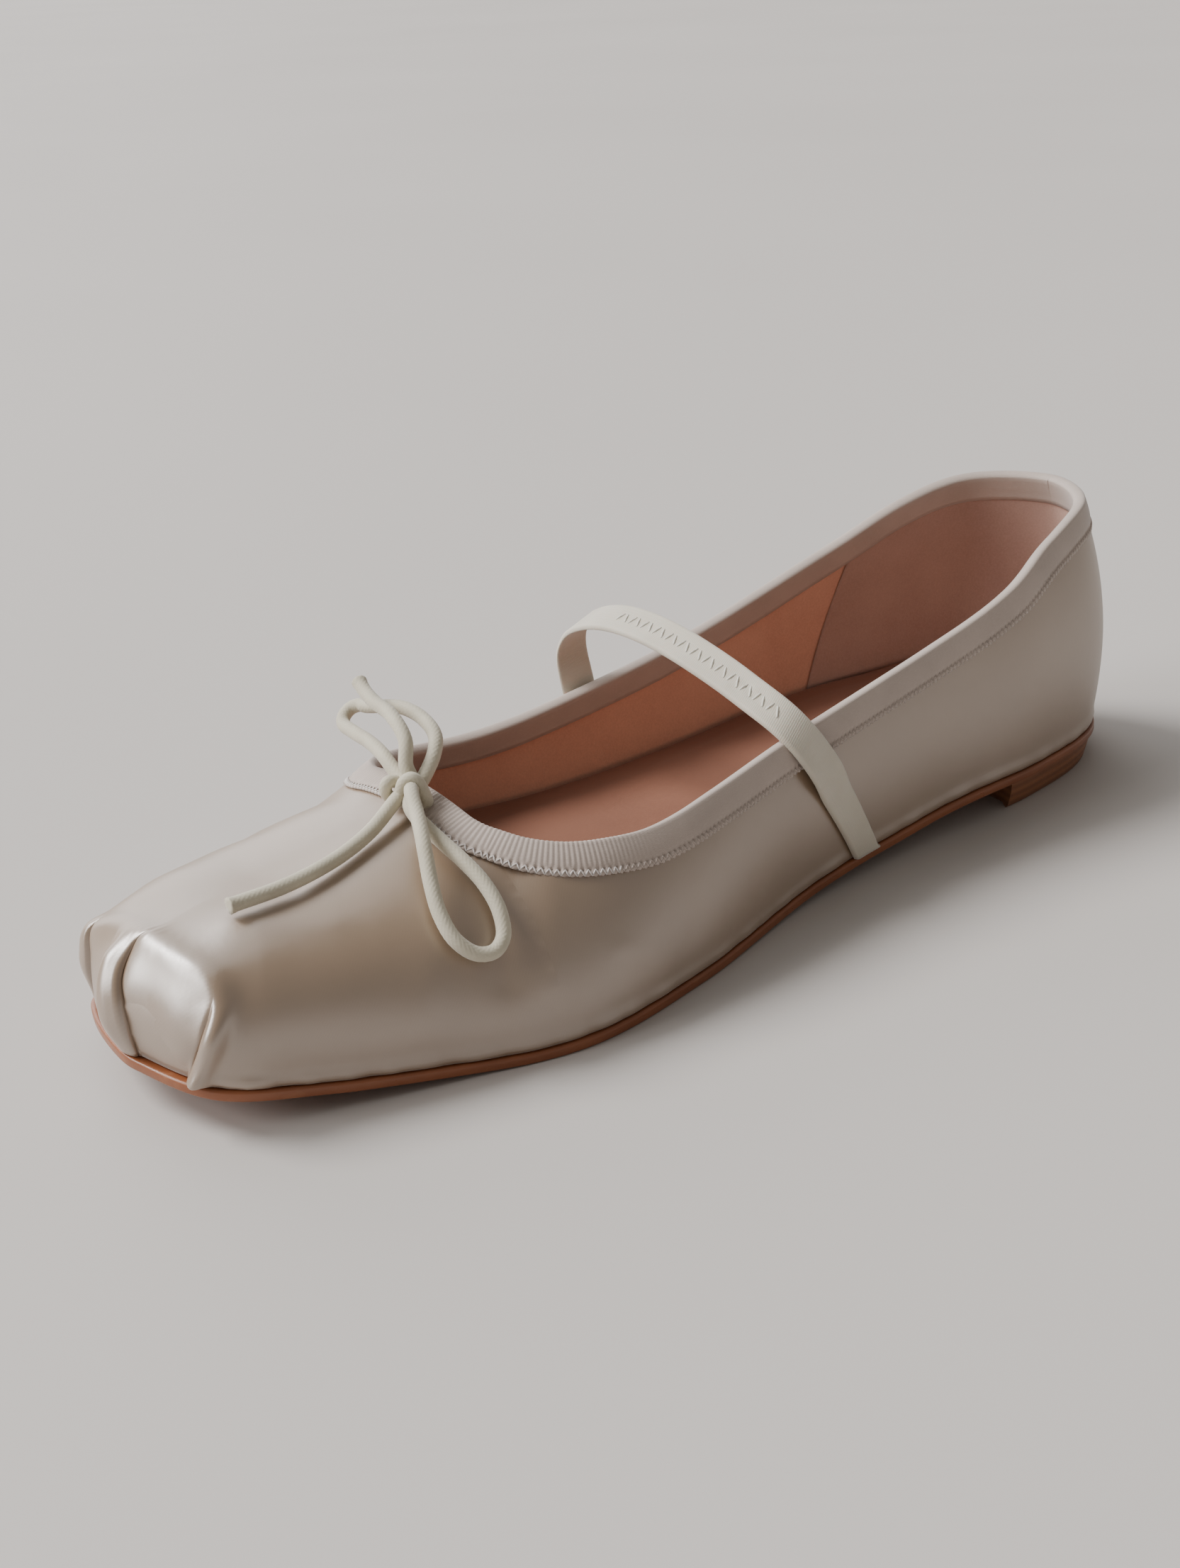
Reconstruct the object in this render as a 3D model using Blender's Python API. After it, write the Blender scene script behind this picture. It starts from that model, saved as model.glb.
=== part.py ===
"""Ballet flat for the right foot: square three-pleat toe, bound topline, cord bow, instep strap.

Last frame in millimetres: x from the back of the heel to the toe, y to the wearer's left
(the inner side of this foot), z up from the floor. Objects are written in metres with the
origin on the floor under the tread, at TREAD_X.
"""
import bpy
import bmesh
import math
import numpy as np

MM = 0.001

# ---- driving dimensions, millimetres
LENGTH = 243.0          # feather line, heel to toe
HEEL_X = 2.0            # back of the feather line
BALL_WIDTH = 84.4       # feather line at the ball
INSTEP = 35.0           # upper over the feather line near the throat
BACK_HEIGHT = 60.0      # collar over the floor at the back
HEEL_HEIGHT = 6.4       # underside of the outsole over the floor, at the heel
TOE_SPRING = 8.0        # underside of the outsole over the floor, at the toe
THROAT_X = 181.5        # front end of the opening
TREAD_X = 167.0         # where the tread is flat on the floor

WALL = 1.5              # satin, interlining and suede lining together
GAP = 0.3               # between neighbouring pieces
SOLE = 2.1              # outsole
SOLE_OUT = 0.8          # outsole ledge beyond the feather line
MARGIN = 9.0            # lasting margin turned in under the insole
MARGIN_THICK = 1.2
INSOLE = 4.0            # board, foam and cover
INSOLE_IN = 2.7         # insole edge inside the feather line
BINDING = 0.6           # one leg of the grosgrain binding
FOLD_GAP = 0.4          # between the binding and the upper
BINDING_OUT = 6.3       # its width outside
BINDING_IN = 6.0        # its width inside
STRAP_WIDTH = 8.0
STRAP_THICK = 1.2
CORD = 3.1              # diameter of the bow's cord
CORD_STEP = 4.8         # between points along it

INNER, OUTER = 1, -1    # the foot's inner side is +y
SIDES = (INNER, OUTER)

# feather line from the toe to the heel: share of LENGTH, share of BALL_WIDTH
PLAN = {
    INNER: [  # station, half width
        (1.000, 0.023), (0.997, 0.072), (0.972, 0.242), (0.905, 0.325), (0.815, 0.406), (0.716, 0.483),
        (0.601, 0.445), (0.453, 0.343), (0.305, 0.319), (0.164, 0.328), (0.050, 0.243), (0.000, 0.000)],
    OUTER: [
        (1.000, -0.023), (0.992, 0.152), (0.977, 0.240), (0.894, 0.337), (0.782, 0.431), (0.658, 0.517),
        (0.535, 0.455), (0.403, 0.400), (0.280, 0.379), (0.164, 0.331), (0.050, 0.243), (0.000, 0.000)],
}
# top of the last over the feather line; behind the throat it is the open foot's
CREST = [  # x, share of INSTEP
    (0, 2.303), (60, 2.188), (100, 1.903), (140, 1.474), (166, 1.188), (180, 1.023), (196, 0.883),
    (212, 0.754), (226, 0.689), (236, 0.620), (244, 0.589)]
# topline of the inner side over the floor
TOPLINE = [  # x, share of BACK_HEIGHT
    (2, 1.000), (22, 1.000), (35, 0.930), (50, 0.822), (65, 0.745), (80, 0.687), (110, 0.598),
    (138, 0.542)]
THROAT_EDGE = [  # how far behind THROAT_X the topline has fallen, and by how much
    (26.5, 6.7), (17.0, 6.1), (12.0, 5.6), (6.2, 4.5), (3.2, 3.4), (0.9, 2.2), (0.0, 0.0)]
OUTER_DROP = [  # x, how much lower the outer side's topline is
    (24, 0.0), (40, 0.6), (55, 1.7), (80, 4.2), (110, 5.7), (140, 7.2), (160, 5.0), (181.5, 0.0)]
# underside of the outsole
UNDERSIDE = [  # x, share of HEEL_HEIGHT
    (-5, 1.0), (50, 1.0), (90, 0.515), (130, 0.047), (150, 0.0), (185, 0.0)]
TOE_ROCKER_X = 215.0    # here the toe has risen by this much
TOE_ROCKER = 2.6

# sections are superellipses from the feather line to the crest
POWER_FOOT, POWER_TOE = 1.95, 3.3
BULGE, BULGE_SPAN = 2.2, 52.0           # sides swell over this height
TOE_BULGE, TOE_BULGE_SPAN = 1.8, 24.0
CORNER_BULGE = {INNER: 1.3, OUTER: 0.3}     # the toe's corners swell less than its front
CORNER_ARC = 14.0                           # from the toe centre to the corners
TOE_FROM, TOE_FULL = 212.0, 236.0       # where the toe's swelling takes over
# sections turn like a fan round the toe and the heel
TOE_POLE, TOE_FAN = 222.0, 188.0
HEEL_POLE, HEEL_FAN = 24.0, 42.0

# toe pleats: the folded edge's place round the feather line, from the toe centre, + inner side
PLEATS = [  # name, foot, middle, top, side on which the upper fold lies
    ("outer corner", -13.0, -17.5, -19.0, -1),
    ("middle", 3.2, 1.8, -0.8, -1),
    ("inner corner", 15.3, 19.8, 21.5, 1)]
PLEAT_RISE = {"outer corner": 1.4, "middle": 1.6, "inner corner": 1.2}  # step at the folded edge
PLEAT_REACH = 7.0       # the fold sinks back into the wall over this width
PLEAT_EDGE = 0.35       # half width of the step
PLEAT_SPAN = 38.0       # pleats lean only this near the toe centre
PLEAT_FADE = {          # shares of the height over which they end
    "outer corner": (0.60, 0.85), "middle": (0.68, 0.92), "inner corner": (0.40, 0.72)}

ROWS = 10               # from the feather line up to the crest or the topline
TOPLINE_STEP = 6.0      # between columns along the topline
SAMPLES = 60            # along a section while it is divided


# ---- small tools

def smooth_table(rows, x):
    """Values between the rows of a two-column table, by a cubic that never overshoots."""
    xs, ys = np.array(sorted(rows), float).T
    step = np.diff(xs)
    slope = np.diff(ys) / step
    tangent = np.zeros(len(xs))
    tangent[0], tangent[-1] = slope[0], slope[-1]
    for i in range(1, len(xs) - 1):
        if slope[i - 1] * slope[i] > 0:
            w1, w2 = 2 * step[i] + step[i - 1], step[i] + 2 * step[i - 1]
            tangent[i] = (w1 + w2) / (w1 / slope[i - 1] + w2 / slope[i])
    x = np.clip(np.asarray(x, float), xs[0], xs[-1])
    k = np.clip(np.searchsorted(xs, x) - 1, 0, len(step) - 1)
    t = (x - xs[k]) / step[k]
    start = ys[k] * (2 * t**3 - 3 * t**2 + 1) + step[k] * tangent[k] * (t**3 - 2 * t**2 + t)
    end = ys[k + 1] * (3 * t**2 - 2 * t**3) + step[k] * tangent[k + 1] * (t**3 - t**2)
    return start + end


def smooth_step(t):
    t = np.clip(t, 0.0, 1.0)
    return t * t * (3 - 2 * t)


def unit(v):
    return v / np.maximum(np.linalg.norm(v, axis=-1, keepdims=True), 1e-9)


def curve_through(points, per, closed):
    """Centripetal Catmull-Rom curve, `per` steps to a span."""
    p = np.array(points, float)
    if not closed:
        p = np.vstack([2 * p[0] - p[1], p, 2 * p[-1] - p[-2]])
    spans = range(len(p)) if closed else range(1, len(p) - 2)
    out = []
    for i in spans:
        a, b, c, d = (p[(i + k) % len(p)] for k in (-1, 0, 1, 2))
        t1 = np.linalg.norm(b - a) ** 0.5
        t2 = t1 + np.linalg.norm(c - b) ** 0.5
        t3 = t2 + np.linalg.norm(d - c) ** 0.5
        t = np.linspace(t1, t2, per, endpoint=False)[:, None]
        ab = ((t1 - t) * a + t * b) / t1
        bc = ((t2 - t) * b + (t - t1) * c) / (t2 - t1)
        cd = ((t3 - t) * c + (t - t2) * d) / (t3 - t2)
        abc = ((t2 - t) * ab + t * bc) / t2
        bcd = ((t3 - t) * bc + (t - t1) * cd) / (t3 - t1)
        out.append(((t2 - t) * abc + (t - t1) * bcd) / (t2 - t1))
    if not closed:
        out.append(p[-2][None, :])
    return np.concatenate(out)


def lengths_along(points):
    return np.concatenate([[0.0], np.cumsum(np.linalg.norm(np.diff(points, axis=0), axis=1))])


# ---- the last

def feather_lines():
    """Both halves of the feather line, from the toe centre to the heel centre."""
    rows = {side: [(HEEL_X + LENGTH * s, side * BALL_WIDTH * w) for s, w in PLAN[side]] for side in SIDES}
    ring = curve_through(rows[INNER] + rows[OUTER][-2:0:-1], 24, True)
    split = 24 * (len(PLAN[INNER]) - 1)
    inner = ring[:split + 1]
    outer = np.vstack([ring[split:], ring[:1]])[::-1]
    return {INNER: inner, OUTER: outer}


FEATHER = feather_lines()
ROUND = {side: lengths_along(FEATHER[side]) for side in SIDES}
HALF = {side: ROUND[side][-1] for side in SIDES}


def foot(side, arc):
    line = FEATHER[side]
    return np.stack([np.interp(arc, ROUND[side], line[:, k]) for k in (0, 1)], -1)


def outward(side, arc):
    """Unit normal of the feather line in plan."""
    t = unit(foot(side, np.minimum(arc + 0.5, HALF[side])) - foot(side, np.maximum(arc - 0.5, 0.0)))
    return np.stack([t[..., 1], -t[..., 0]], -1) * side


def arc_at(side, x):
    """Place along the feather line, behind the toe, where it is at x."""
    line = FEATHER[side]
    first = max(int(np.argmax(line[:, 0] < x)), 1)
    return float(np.interp(-x, -line[first - 1:, 0], ROUND[side][first - 1:]))


FAN_ARC = {side: arc_at(side, TOE_FAN) for side in SIDES}
HEEL_ARC = {side: arc_at(side, HEEL_FAN) for side in SIDES}


def crest_x(side, arc):
    """Where the section from this place on the feather line meets the crest."""
    arc = np.asarray(arc, float)
    end = FAN_ARC[side]
    t = np.clip(arc / end, 0, 1)
    toe = (TOE_POLE * (2 * t**3 - 3 * t**2 + 1) + TOE_FAN * (3 * t**2 - 2 * t**3)
           - 0.12 * end * (t**3 - 2 * t**2 + t) - 0.97 * end * (t**3 - t**2))
    span = HALF[side] - HEEL_ARC[side]
    u = np.clip((arc - HEEL_ARC[side]) / span, 0, 1)
    heel = (HEEL_FAN * (2 * u**3 - 3 * u**2 + 1) + HEEL_POLE * (3 * u**2 - 2 * u**3)
            - 0.99 * span * (u**3 - 2 * u**2 + u) - 0.05 * span * (u**3 - u**2))
    return np.where(arc < end, toe, np.where(arc > HEEL_ARC[side], heel, foot(side, arc)[..., 0]))


def arc_of_crest(side, x):
    arcs = np.linspace(0, HALF[side], 1500)
    xs = np.maximum.accumulate(crest_x(side, arcs)[::-1])[::-1]
    return np.interp(-np.asarray(x, float), -xs, arcs)


def middle_line():
    """Smoothed middle of the feather line, as x and y."""
    x = np.linspace(10, 232, 60)
    sides = [np.interp(-x, -FEATHER[s][24:, 0], FEATHER[s][24:, 1]) for s in SIDES]
    y = np.convolve(np.pad((sides[0] + sides[1]) / 2, 6, mode="edge"), np.ones(13) / 13, "valid")
    return x, y


MIDDLE = middle_line()


def crest_y(x):
    return np.interp(x, *MIDDLE)


def underside(x):
    rows = [(a, b * HEEL_HEIGHT) for a, b in UNDERSIDE] + [(TOE_ROCKER_X, TOE_ROCKER), (250, TOE_SPRING)]
    return smooth_table(rows, x)


def sole_top(x):
    return underside(x) + SOLE


def feather_z(x):
    return sole_top(x) + GAP


def crest_height(x):
    return smooth_table([(a, b * INSTEP) for a, b in CREST], x)


def topline_z(side, x):
    top = float(feather_z(THROAT_X) + crest_height(THROAT_X))
    rows = [(a, b * BACK_HEIGHT) for a, b in TOPLINE]
    rows += [(THROAT_X - back, top - drop) for back, drop in THROAT_EDGE]
    z = smooth_table(rows, x)
    if side == OUTER:
        z = z - smooth_table(OUTER_DROP, x)
    return z


def skin(side, arc, phi):
    """Outer surface of the upper: phi runs from 0 at the feather line to pi/2 at the crest."""
    arc, phi = np.broadcast_arrays(np.asarray(arc, float), np.asarray(phi, float))
    base = foot(side, arc)
    top_x = crest_x(side, arc)
    crest = np.stack([top_x, crest_y(top_x)], -1)
    power = POWER_FOOT + (POWER_TOE - POWER_FOOT) * np.clip((base[..., 0] - 190) / 40, 0, 1)
    cos = np.clip(np.cos(phi), 0, 1)
    rise = np.clip(np.sin(phi), 0, 1) ** (2 / power)
    plan = base + (crest - base) * (1 - cos ** (2 / power))[..., None]
    height = crest_height(plan[..., 0]) * rise
    toe = smooth_step((base[..., 0] - TOE_FROM) / (TOE_FULL - TOE_FROM))
    corner = TOE_BULGE + (CORNER_BULGE[side] - TOE_BULGE) * smooth_step(arc / CORNER_ARC)
    swell = (BULGE * np.sin(math.pi * np.clip(height / BULGE_SPAN, 0, 1)) * (1 - toe)
             + corner * np.sin(math.pi * np.clip(height / TOE_BULGE_SPAN, 0, 1)) * toe) * cos
    plan_out = plan + outward(side, arc) * swell[..., None]
    return np.concatenate([plan_out, (feather_z(plan[..., 0]) + height)[..., None]], -1)


def skin_normal(side, arc, phi):
    d_arc = skin(side, np.minimum(arc + 0.4, HALF[side]), phi) - skin(side, np.maximum(arc - 0.4, 0), phi)
    d_phi = skin(side, arc, np.minimum(phi + 0.01, math.pi / 2)) - skin(side, arc, np.maximum(phi - 0.01, 0))
    return unit(np.cross(d_arc, d_phi)) * side


def topline_phi(side, arc):
    """How far up its section the topline cuts each place."""
    x = crest_x(side, arc)
    base_x = foot(side, arc)[..., 0]
    power = POWER_FOOT + (POWER_TOE - POWER_FOOT) * np.clip((base_x - 190) / 40, 0, 1)
    goal = topline_z(side, x)
    share = np.clip((goal - feather_z(base_x)) / crest_height(base_x), 0, 1)
    for _ in range(8):
        phi = np.arcsin(np.clip(share, 0, 1) ** (power / 2))
        share = np.clip(share + (goal - skin(side, arc, phi)[..., 2]) / crest_height(base_x), 0, 1)
    return np.arcsin(share ** (power / 2))


def topline_arcs(side):
    """Places on the feather line under evenly spaced points of the topline, throat to heel."""
    u = np.linspace(0, 1, 400)
    arcs = arc_of_crest(side, THROAT_X - (THROAT_X - HEEL_POLE) * u**1.8)
    arcs[-1] = HALF[side]
    run = lengths_along(skin(side, arcs, topline_phi(side, arcs)))
    count = int(round(run[-1] / TOPLINE_STEP))
    return np.interp(np.linspace(0, run[-1], count + 1), run, arcs)


# ---- the upper: one column of points for each section, all round the shoe

TOE_COLUMNS = (0.0, 1.6, 5.6, 8.4, 11.2, 17.0, 20.0, 23.5)     # places round the toe's front
VAMP_STEP = 4.5                                                 # between columns from there to the throat


def vamp_arcs():
    """Places round the inner half of the toe; the outer half pairs them by their crest point."""
    inner_pleats = [foot_arc for _, foot_arc, _, _, _ in PLEATS if foot_arc > 0]
    edges = [a + d for a in inner_pleats for d in (-PLEAT_EDGE, PLEAT_EDGE)]
    throat = float(arc_of_crest(INNER, THROAT_X))
    count = int(round((throat - TOE_COLUMNS[-1]) / VAMP_STEP))
    behind = np.linspace(TOE_COLUMNS[-1], throat, count + 1)[1:]
    inner = np.array(sorted(list(TOE_COLUMNS) + edges) + list(behind))
    outer = arc_of_crest(OUTER, crest_x(INNER, inner))
    outer[0] = 0.0
    return inner, outer


VAMP_INNER, VAMP_OUTER = vamp_arcs()
# the outer corner's fold starts opposite the inner corner's
CORNER_FOOT = -float(np.interp(PLEATS[2][1], VAMP_INNER, VAMP_OUTER))


def pleat_places(share):
    """Signed places of the folded edges at each share of the height, a row for each pleat."""
    rows = []
    for name, low, middle, top, _ in PLEATS:
        low = CORNER_FOOT if name == "outer corner" else low
        rows.append(smooth_table([(0.0, low), (0.5, middle), (0.85, top), (1.0, low)], share))
    return np.array(rows)


def lean(place, share):
    """Columns near the toe lean with the pleats."""
    share = np.atleast_1d(share)
    low = pleat_places(np.zeros(1))[:, 0]
    here = pleat_places(share)
    ends = np.array([PLEAT_SPAN])
    return np.array([np.interp(place, np.concatenate([-ends, low, ends]),
                               np.concatenate([-ends, here[:, i], ends])) for i in range(len(share))])


def pleat_rise(place, share):
    """How far the folded cloth stands out of the wall."""
    edges = pleat_places(share)
    rise = np.zeros(len(share))
    for (name, _, _, _, over), edge in zip(PLEATS, edges):
        start, end = PLEAT_FADE[name]
        fade = 1 - smooth_step((share - start) / (end - start))
        inside = (place - edge) * over
        fold = 1 - smooth_step((inside - PLEAT_EDGE) / PLEAT_REACH)
        rise = np.maximum(rise, np.where(inside > 0, fold, 0.0) * PLEAT_RISE[name] * fade)
    return rise


def divide(points, *values):
    """ROWS equal steps along a dense section, with values carried along."""
    run = lengths_along(points)
    at = np.linspace(0, run[-1], ROWS + 1)
    even = np.stack([np.interp(at, run, points[:, k]) for k in range(3)], -1)
    return [even] + [np.interp(at, run, v) for v in values]


def vamp_column(place):
    """Section of the closed toe at a signed place: points and the pleats' rise."""
    if abs(place) >= PLEAT_SPAN:
        side = INNER if place > 0 else OUTER
        phi = np.linspace(0, math.pi / 2, SAMPLES)
        return divide(skin(side, abs(place), phi))[0], np.zeros(ROWS + 1)
    phi = np.linspace(0, math.pi / 2, SAMPLES)
    share = np.sin(phi) ** (2 / POWER_TOE)
    places = lean(place, share)
    points = np.where(places[:, None] >= 0, skin(INNER, np.maximum(places, 0), phi),
                      skin(OUTER, np.maximum(-places, 0), phi))
    points, places, share = divide(points, places, share)
    return points, pleat_rise(places, share)


def quarter_column(side, arc, top):
    return divide(skin(side, arc, np.linspace(0, top, SAMPLES)))[0], np.zeros(ROWS + 1)


class Ring:
    """All columns in order: heel, inner side, toe, outer side."""

    def __init__(self):
        self.columns = []
        self.keys = []
        inner, outer = topline_arcs(INNER), topline_arcs(OUTER)
        tops = topline_phi(INNER, inner)
        for arc, top in zip(inner[:0:-1], tops[:0:-1]):
            self.add(INNER, arc, quarter_column(INNER, arc, top))
        self.throat_inner = len(self.columns)
        for arc in VAMP_INNER[::-1]:
            self.add(INNER, arc, vamp_column(arc))
        self.toe = len(self.columns) - 1
        for arc in VAMP_OUTER[1:]:
            self.add(OUTER, arc, vamp_column(-arc))
        self.throat_outer = len(self.columns) - 1
        tops = topline_phi(OUTER, outer)
        for arc, top in zip(outer[1:-1], tops[1:-1]):
            self.add(OUTER, arc, quarter_column(OUTER, arc, top))
        self.count = len(self.columns)
        self.points = np.array([c[0] for c in self.columns])
        self.rise = np.array([c[1] for c in self.columns])
        self.ids = np.arange(self.count * (ROWS + 1)).reshape(self.count, ROWS + 1)
        for k in range(1, self.throat_outer - self.toe + 1):
            self.ids[self.toe + k, ROWS] = self.ids[self.toe - k, ROWS]

    def add(self, side, arc, column):
        self.columns.append(column)
        self.keys.append((side, float(arc)))

    def normals(self):
        """Outward normal at each point, from the faces round it."""
        total = np.zeros((self.count * (ROWS + 1), 3))
        flat = self.points.reshape(-1, 3)
        after = np.roll(self.ids, -1, axis=0)
        quads = np.stack([self.ids[:, :-1], self.ids[:, 1:], after[:, 1:], after[:, :-1]], -1).reshape(-1, 4)
        corner = flat[quads]
        face = np.cross(corner[:, 2] - corner[:, 0], corner[:, 3] - corner[:, 1])
        for k in range(4):
            np.add.at(total, quads[:, k], face)
        normal = unit(total)[self.ids]
        heel_out = np.array([-1.0, 0.0, 0.0])
        return normal if normal[0, 1] @ heel_out > 0 else -normal


def closed_mesh(name, points, faces, material):
    """Object from points in last millimetres and faces, with its normals turned outward."""
    mesh = bpy.data.meshes.new(name)
    mesh.from_pydata([tuple(p) for p in in_metres(points)], [], [list(map(int, f)) for f in faces])
    mesh.validate()
    bm = bmesh.new()
    bm.from_mesh(mesh)
    bmesh.ops.delete(bm, geom=[v for v in bm.verts if not v.link_faces], context="VERTS")
    bmesh.ops.recalc_face_normals(bm, faces=bm.faces[:])
    bm.to_mesh(mesh)
    bm.free()
    obj = bpy.data.objects.new(name, mesh)
    bpy.context.collection.objects.link(obj)
    obj.data.materials.append(material)
    return obj


def in_metres(points):
    p = np.array(points, float)
    p[:, 0] -= TREAD_X
    return p * MM


def make_upper(ring, material):
    """Hollow wall, open at the topline and underneath, with its margin turned in below."""
    normal = ring.normals()
    outer = ring.points + normal * ring.rise[..., None]
    inner = ring.points - normal * WALL
    margin = np.zeros((ring.count, 2, 3))
    for i, (side, arc) in enumerate(ring.keys):
        plan = foot(side, arc)
        outer[i, 0] = (*(ring.points[i, 0, :2] + outward(side, arc) * ring.rise[i, 0]), ring.points[i, 0, 2])
        inset = plan - outward(side, arc) * WALL
        x = crest_x(side, arc)
        turned = plan + unit(np.array([x, crest_y(x)]) - plan) * MARGIN
        z = feather_z(plan[0])
        inner[i, 0] = (*inset, z + MARGIN_THICK)
        z = feather_z(turned[0])
        margin[i] = (*turned, z), (*turned, z + MARGIN_THICK)
    grid = ring.count * (ROWS + 1)
    points = np.vstack([outer.reshape(-1, 3), inner.reshape(-1, 3), margin.reshape(-1, 3)])
    outer_id, inner_id = ring.ids, ring.ids + grid
    margin_id = 2 * grid + np.arange(2 * ring.count).reshape(-1, 2)
    faces = []
    for i in range(ring.count):
        j = (i + 1) % ring.count
        for k in range(ROWS):
            faces.append((outer_id[i, k], outer_id[j, k], outer_id[j, k + 1], outer_id[i, k + 1]))
            faces.append((inner_id[i, k], inner_id[i, k + 1], inner_id[j, k + 1], inner_id[j, k]))
        faces.append((margin_id[i, 0], margin_id[j, 0], outer_id[j, 0], outer_id[i, 0]))
        faces.append((margin_id[i, 1], inner_id[i, 0], inner_id[j, 0], margin_id[j, 1]))
        faces.append((margin_id[i, 0], margin_id[i, 1], margin_id[j, 1], margin_id[j, 0]))
        if not ring.throat_inner <= i < ring.throat_outer:
            faces.append((outer_id[i, ROWS], outer_id[j, ROWS], inner_id[j, ROWS], inner_id[i, ROWS]))
    faces = [tuple(dict.fromkeys(f)) for f in faces]
    return closed_mesh("upper", points, [f for f in faces if len(f) > 2], material)


# ---- the binding over the topline

def over_skin(side, arc, phi):
    """The skin, carried on over the crest to the other side."""
    past = phi > math.pi / 2
    near = skin(side, arc, np.minimum(phi, math.pi / 2))
    if not past.any():
        return near
    other = arc_of_crest(-side, crest_x(side, arc))
    far = skin(-side, other, np.clip(math.pi - phi, 0, math.pi / 2))
    return np.where(past[:, None], far, near)


def slopes(side, arc, phi):
    da = (over_skin(side, np.minimum(arc + 0.3, HALF[side]), phi)
          - over_skin(side, np.maximum(arc - 0.3, 0), phi))
    dp = over_skin(side, arc, phi + 0.008) - over_skin(side, arc, phi - 0.008)
    span = np.minimum(arc + 0.3, HALF[side]) - np.maximum(arc - 0.3, 0)
    return da / span[:, None], dp / 0.016


def walk(side, arc, phi, away, distances):
    """Points and normals over the skin, squarely off the topline, at each distance."""
    position = over_skin(side, arc, phi)
    out = []
    done = 0.0
    for goal in distances:
        steps = max(1, math.ceil((goal - done) / 1.5))
        for _ in range(steps if goal > done else 0):
            target = position + away * (goal - done) / steps
            for _ in range(4):
                da, dp = slopes(side, arc, phi)
                miss = target - over_skin(side, arc, phi)
                aa, ap, pp = (da * da).sum(1), (da * dp).sum(1), (dp * dp).sum(1)
                ra, rp = (da * miss).sum(1), (dp * miss).sum(1)
                det = np.maximum(aa * pp - ap * ap, 1e-9)
                arc = np.clip(arc + (ra * pp - rp * ap) / det, 0, HALF[side])
                phi = phi + (rp * aa - ra * ap) / det
            moved = over_skin(side, arc, phi)
            away = unit(moved - position)
            position = moved
        done = goal
        da, dp = slopes(side, arc, phi)
        out.append((position, unit(np.cross(da, dp)) * side))
    return out


def topline_ring(distances):
    """Rows of points and normals off the whole topline, heel to throat to heel."""
    halves = {}
    for side in SIDES:
        arc = topline_arcs(side)
        phi = topline_phi(side, arc)
        edge = skin(side, arc, phi)
        ends = edge[1] * (1, -1, 1), edge[-2] * (1, -1, 1)
        run = unit(np.vstack([edge, ends[1]])[1:] - np.vstack([ends[0], edge])[:-1])
        da, dp = slopes(side, arc, phi)
        away = unit(np.cross(run, unit(np.cross(da, dp)) * side))
        away = away * np.sign(-away[len(arc) // 2, 2])
        halves[side] = walk(side, arc, phi, away, distances)
    rows = []
    for inner, outer in zip(halves[INNER], halves[OUTER]):
        rows.append(tuple(np.vstack([a[::-1], b[1:-1]]) for a, b in zip(inner, outer)))
    return rows


def make_binding(material):
    """Grosgrain folded over the topline: a leg outside, a leg inside and the fold between."""
    outside = topline_ring(np.linspace(0, BINDING_OUT, 4))
    inside = topline_ring(np.linspace(0, BINDING_IN, 3))
    edge, normal = outside[0]
    up = unit(edge - outside[1][0])
    back = WALL + FOLD_GAP
    path = [p + n * FOLD_GAP for p, n in outside[::-1]]
    path += [edge + normal * FOLD_GAP + up * FOLD_GAP, edge - normal * back + up * FOLD_GAP]
    path += [p - n * back for p, n in inside]
    path += [p - n * (back + BINDING) for p, n in inside[::-1]]
    path += [edge - normal * (back + 0.7 * BINDING) + up * (FOLD_GAP + 0.5 * BINDING),
             edge - normal * 0.5 * WALL + up * (FOLD_GAP + 1.1 * BINDING),
             edge + normal * (FOLD_GAP + 0.7 * BINDING) + up * (FOLD_GAP + 0.5 * BINDING)]
    path += [p + n * (FOLD_GAP + BINDING) for p, n in outside]
    return swept("topline_binding", np.array(path), True, material)


def swept(name, rows, around, material):
    """Closed solid from rows of points: the rows close on themselves, and `around` closes the
    other way too; if it doesn't, both ends are capped."""
    count, width = rows.shape[:2]
    ids = np.arange(count * width).reshape(count, width)
    faces = []
    for i in range(count):
        below = (i + 1) % count
        for j in range(width if around else width - 1):
            k = (j + 1) % width
            faces.append((ids[i, j], ids[below, j], ids[below, k], ids[i, k]))
    if not around:
        faces += [tuple(ids[:, 0]), tuple(ids[::-1, -1])]
    return closed_mesh(name, rows.reshape(-1, 3), faces, material)


# ---- sole, heel and insole

PAIRS = 44              # sections along the sole
ACROSS = 3              # strips across it
TREAD_EDGE = 0.6        # rounding of the outsole's lower edge
WELT_EDGE = 0.5         # and of its upper edge
HEEL_BREAST_X = 50.0
BREAST_HOLLOW = 2.5     # the heel's front face is hollow by this much
HEEL_IN = 1.0           # heel inside the outsole's edge
HEEL_TAPER = 1.0


def sole_sections():
    inner = np.linspace(0, HALF[INNER], PAIRS + 1)
    outer = arc_of_crest(OUTER, crest_x(INNER, inner))
    outer[0], outer[-1] = 0.0, HALF[OUTER]
    return {INNER: inner, OUTER: outer}


def edge_line(side, arcs, out):
    return foot(side, arcs) + outward(side, arcs) * out


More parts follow.
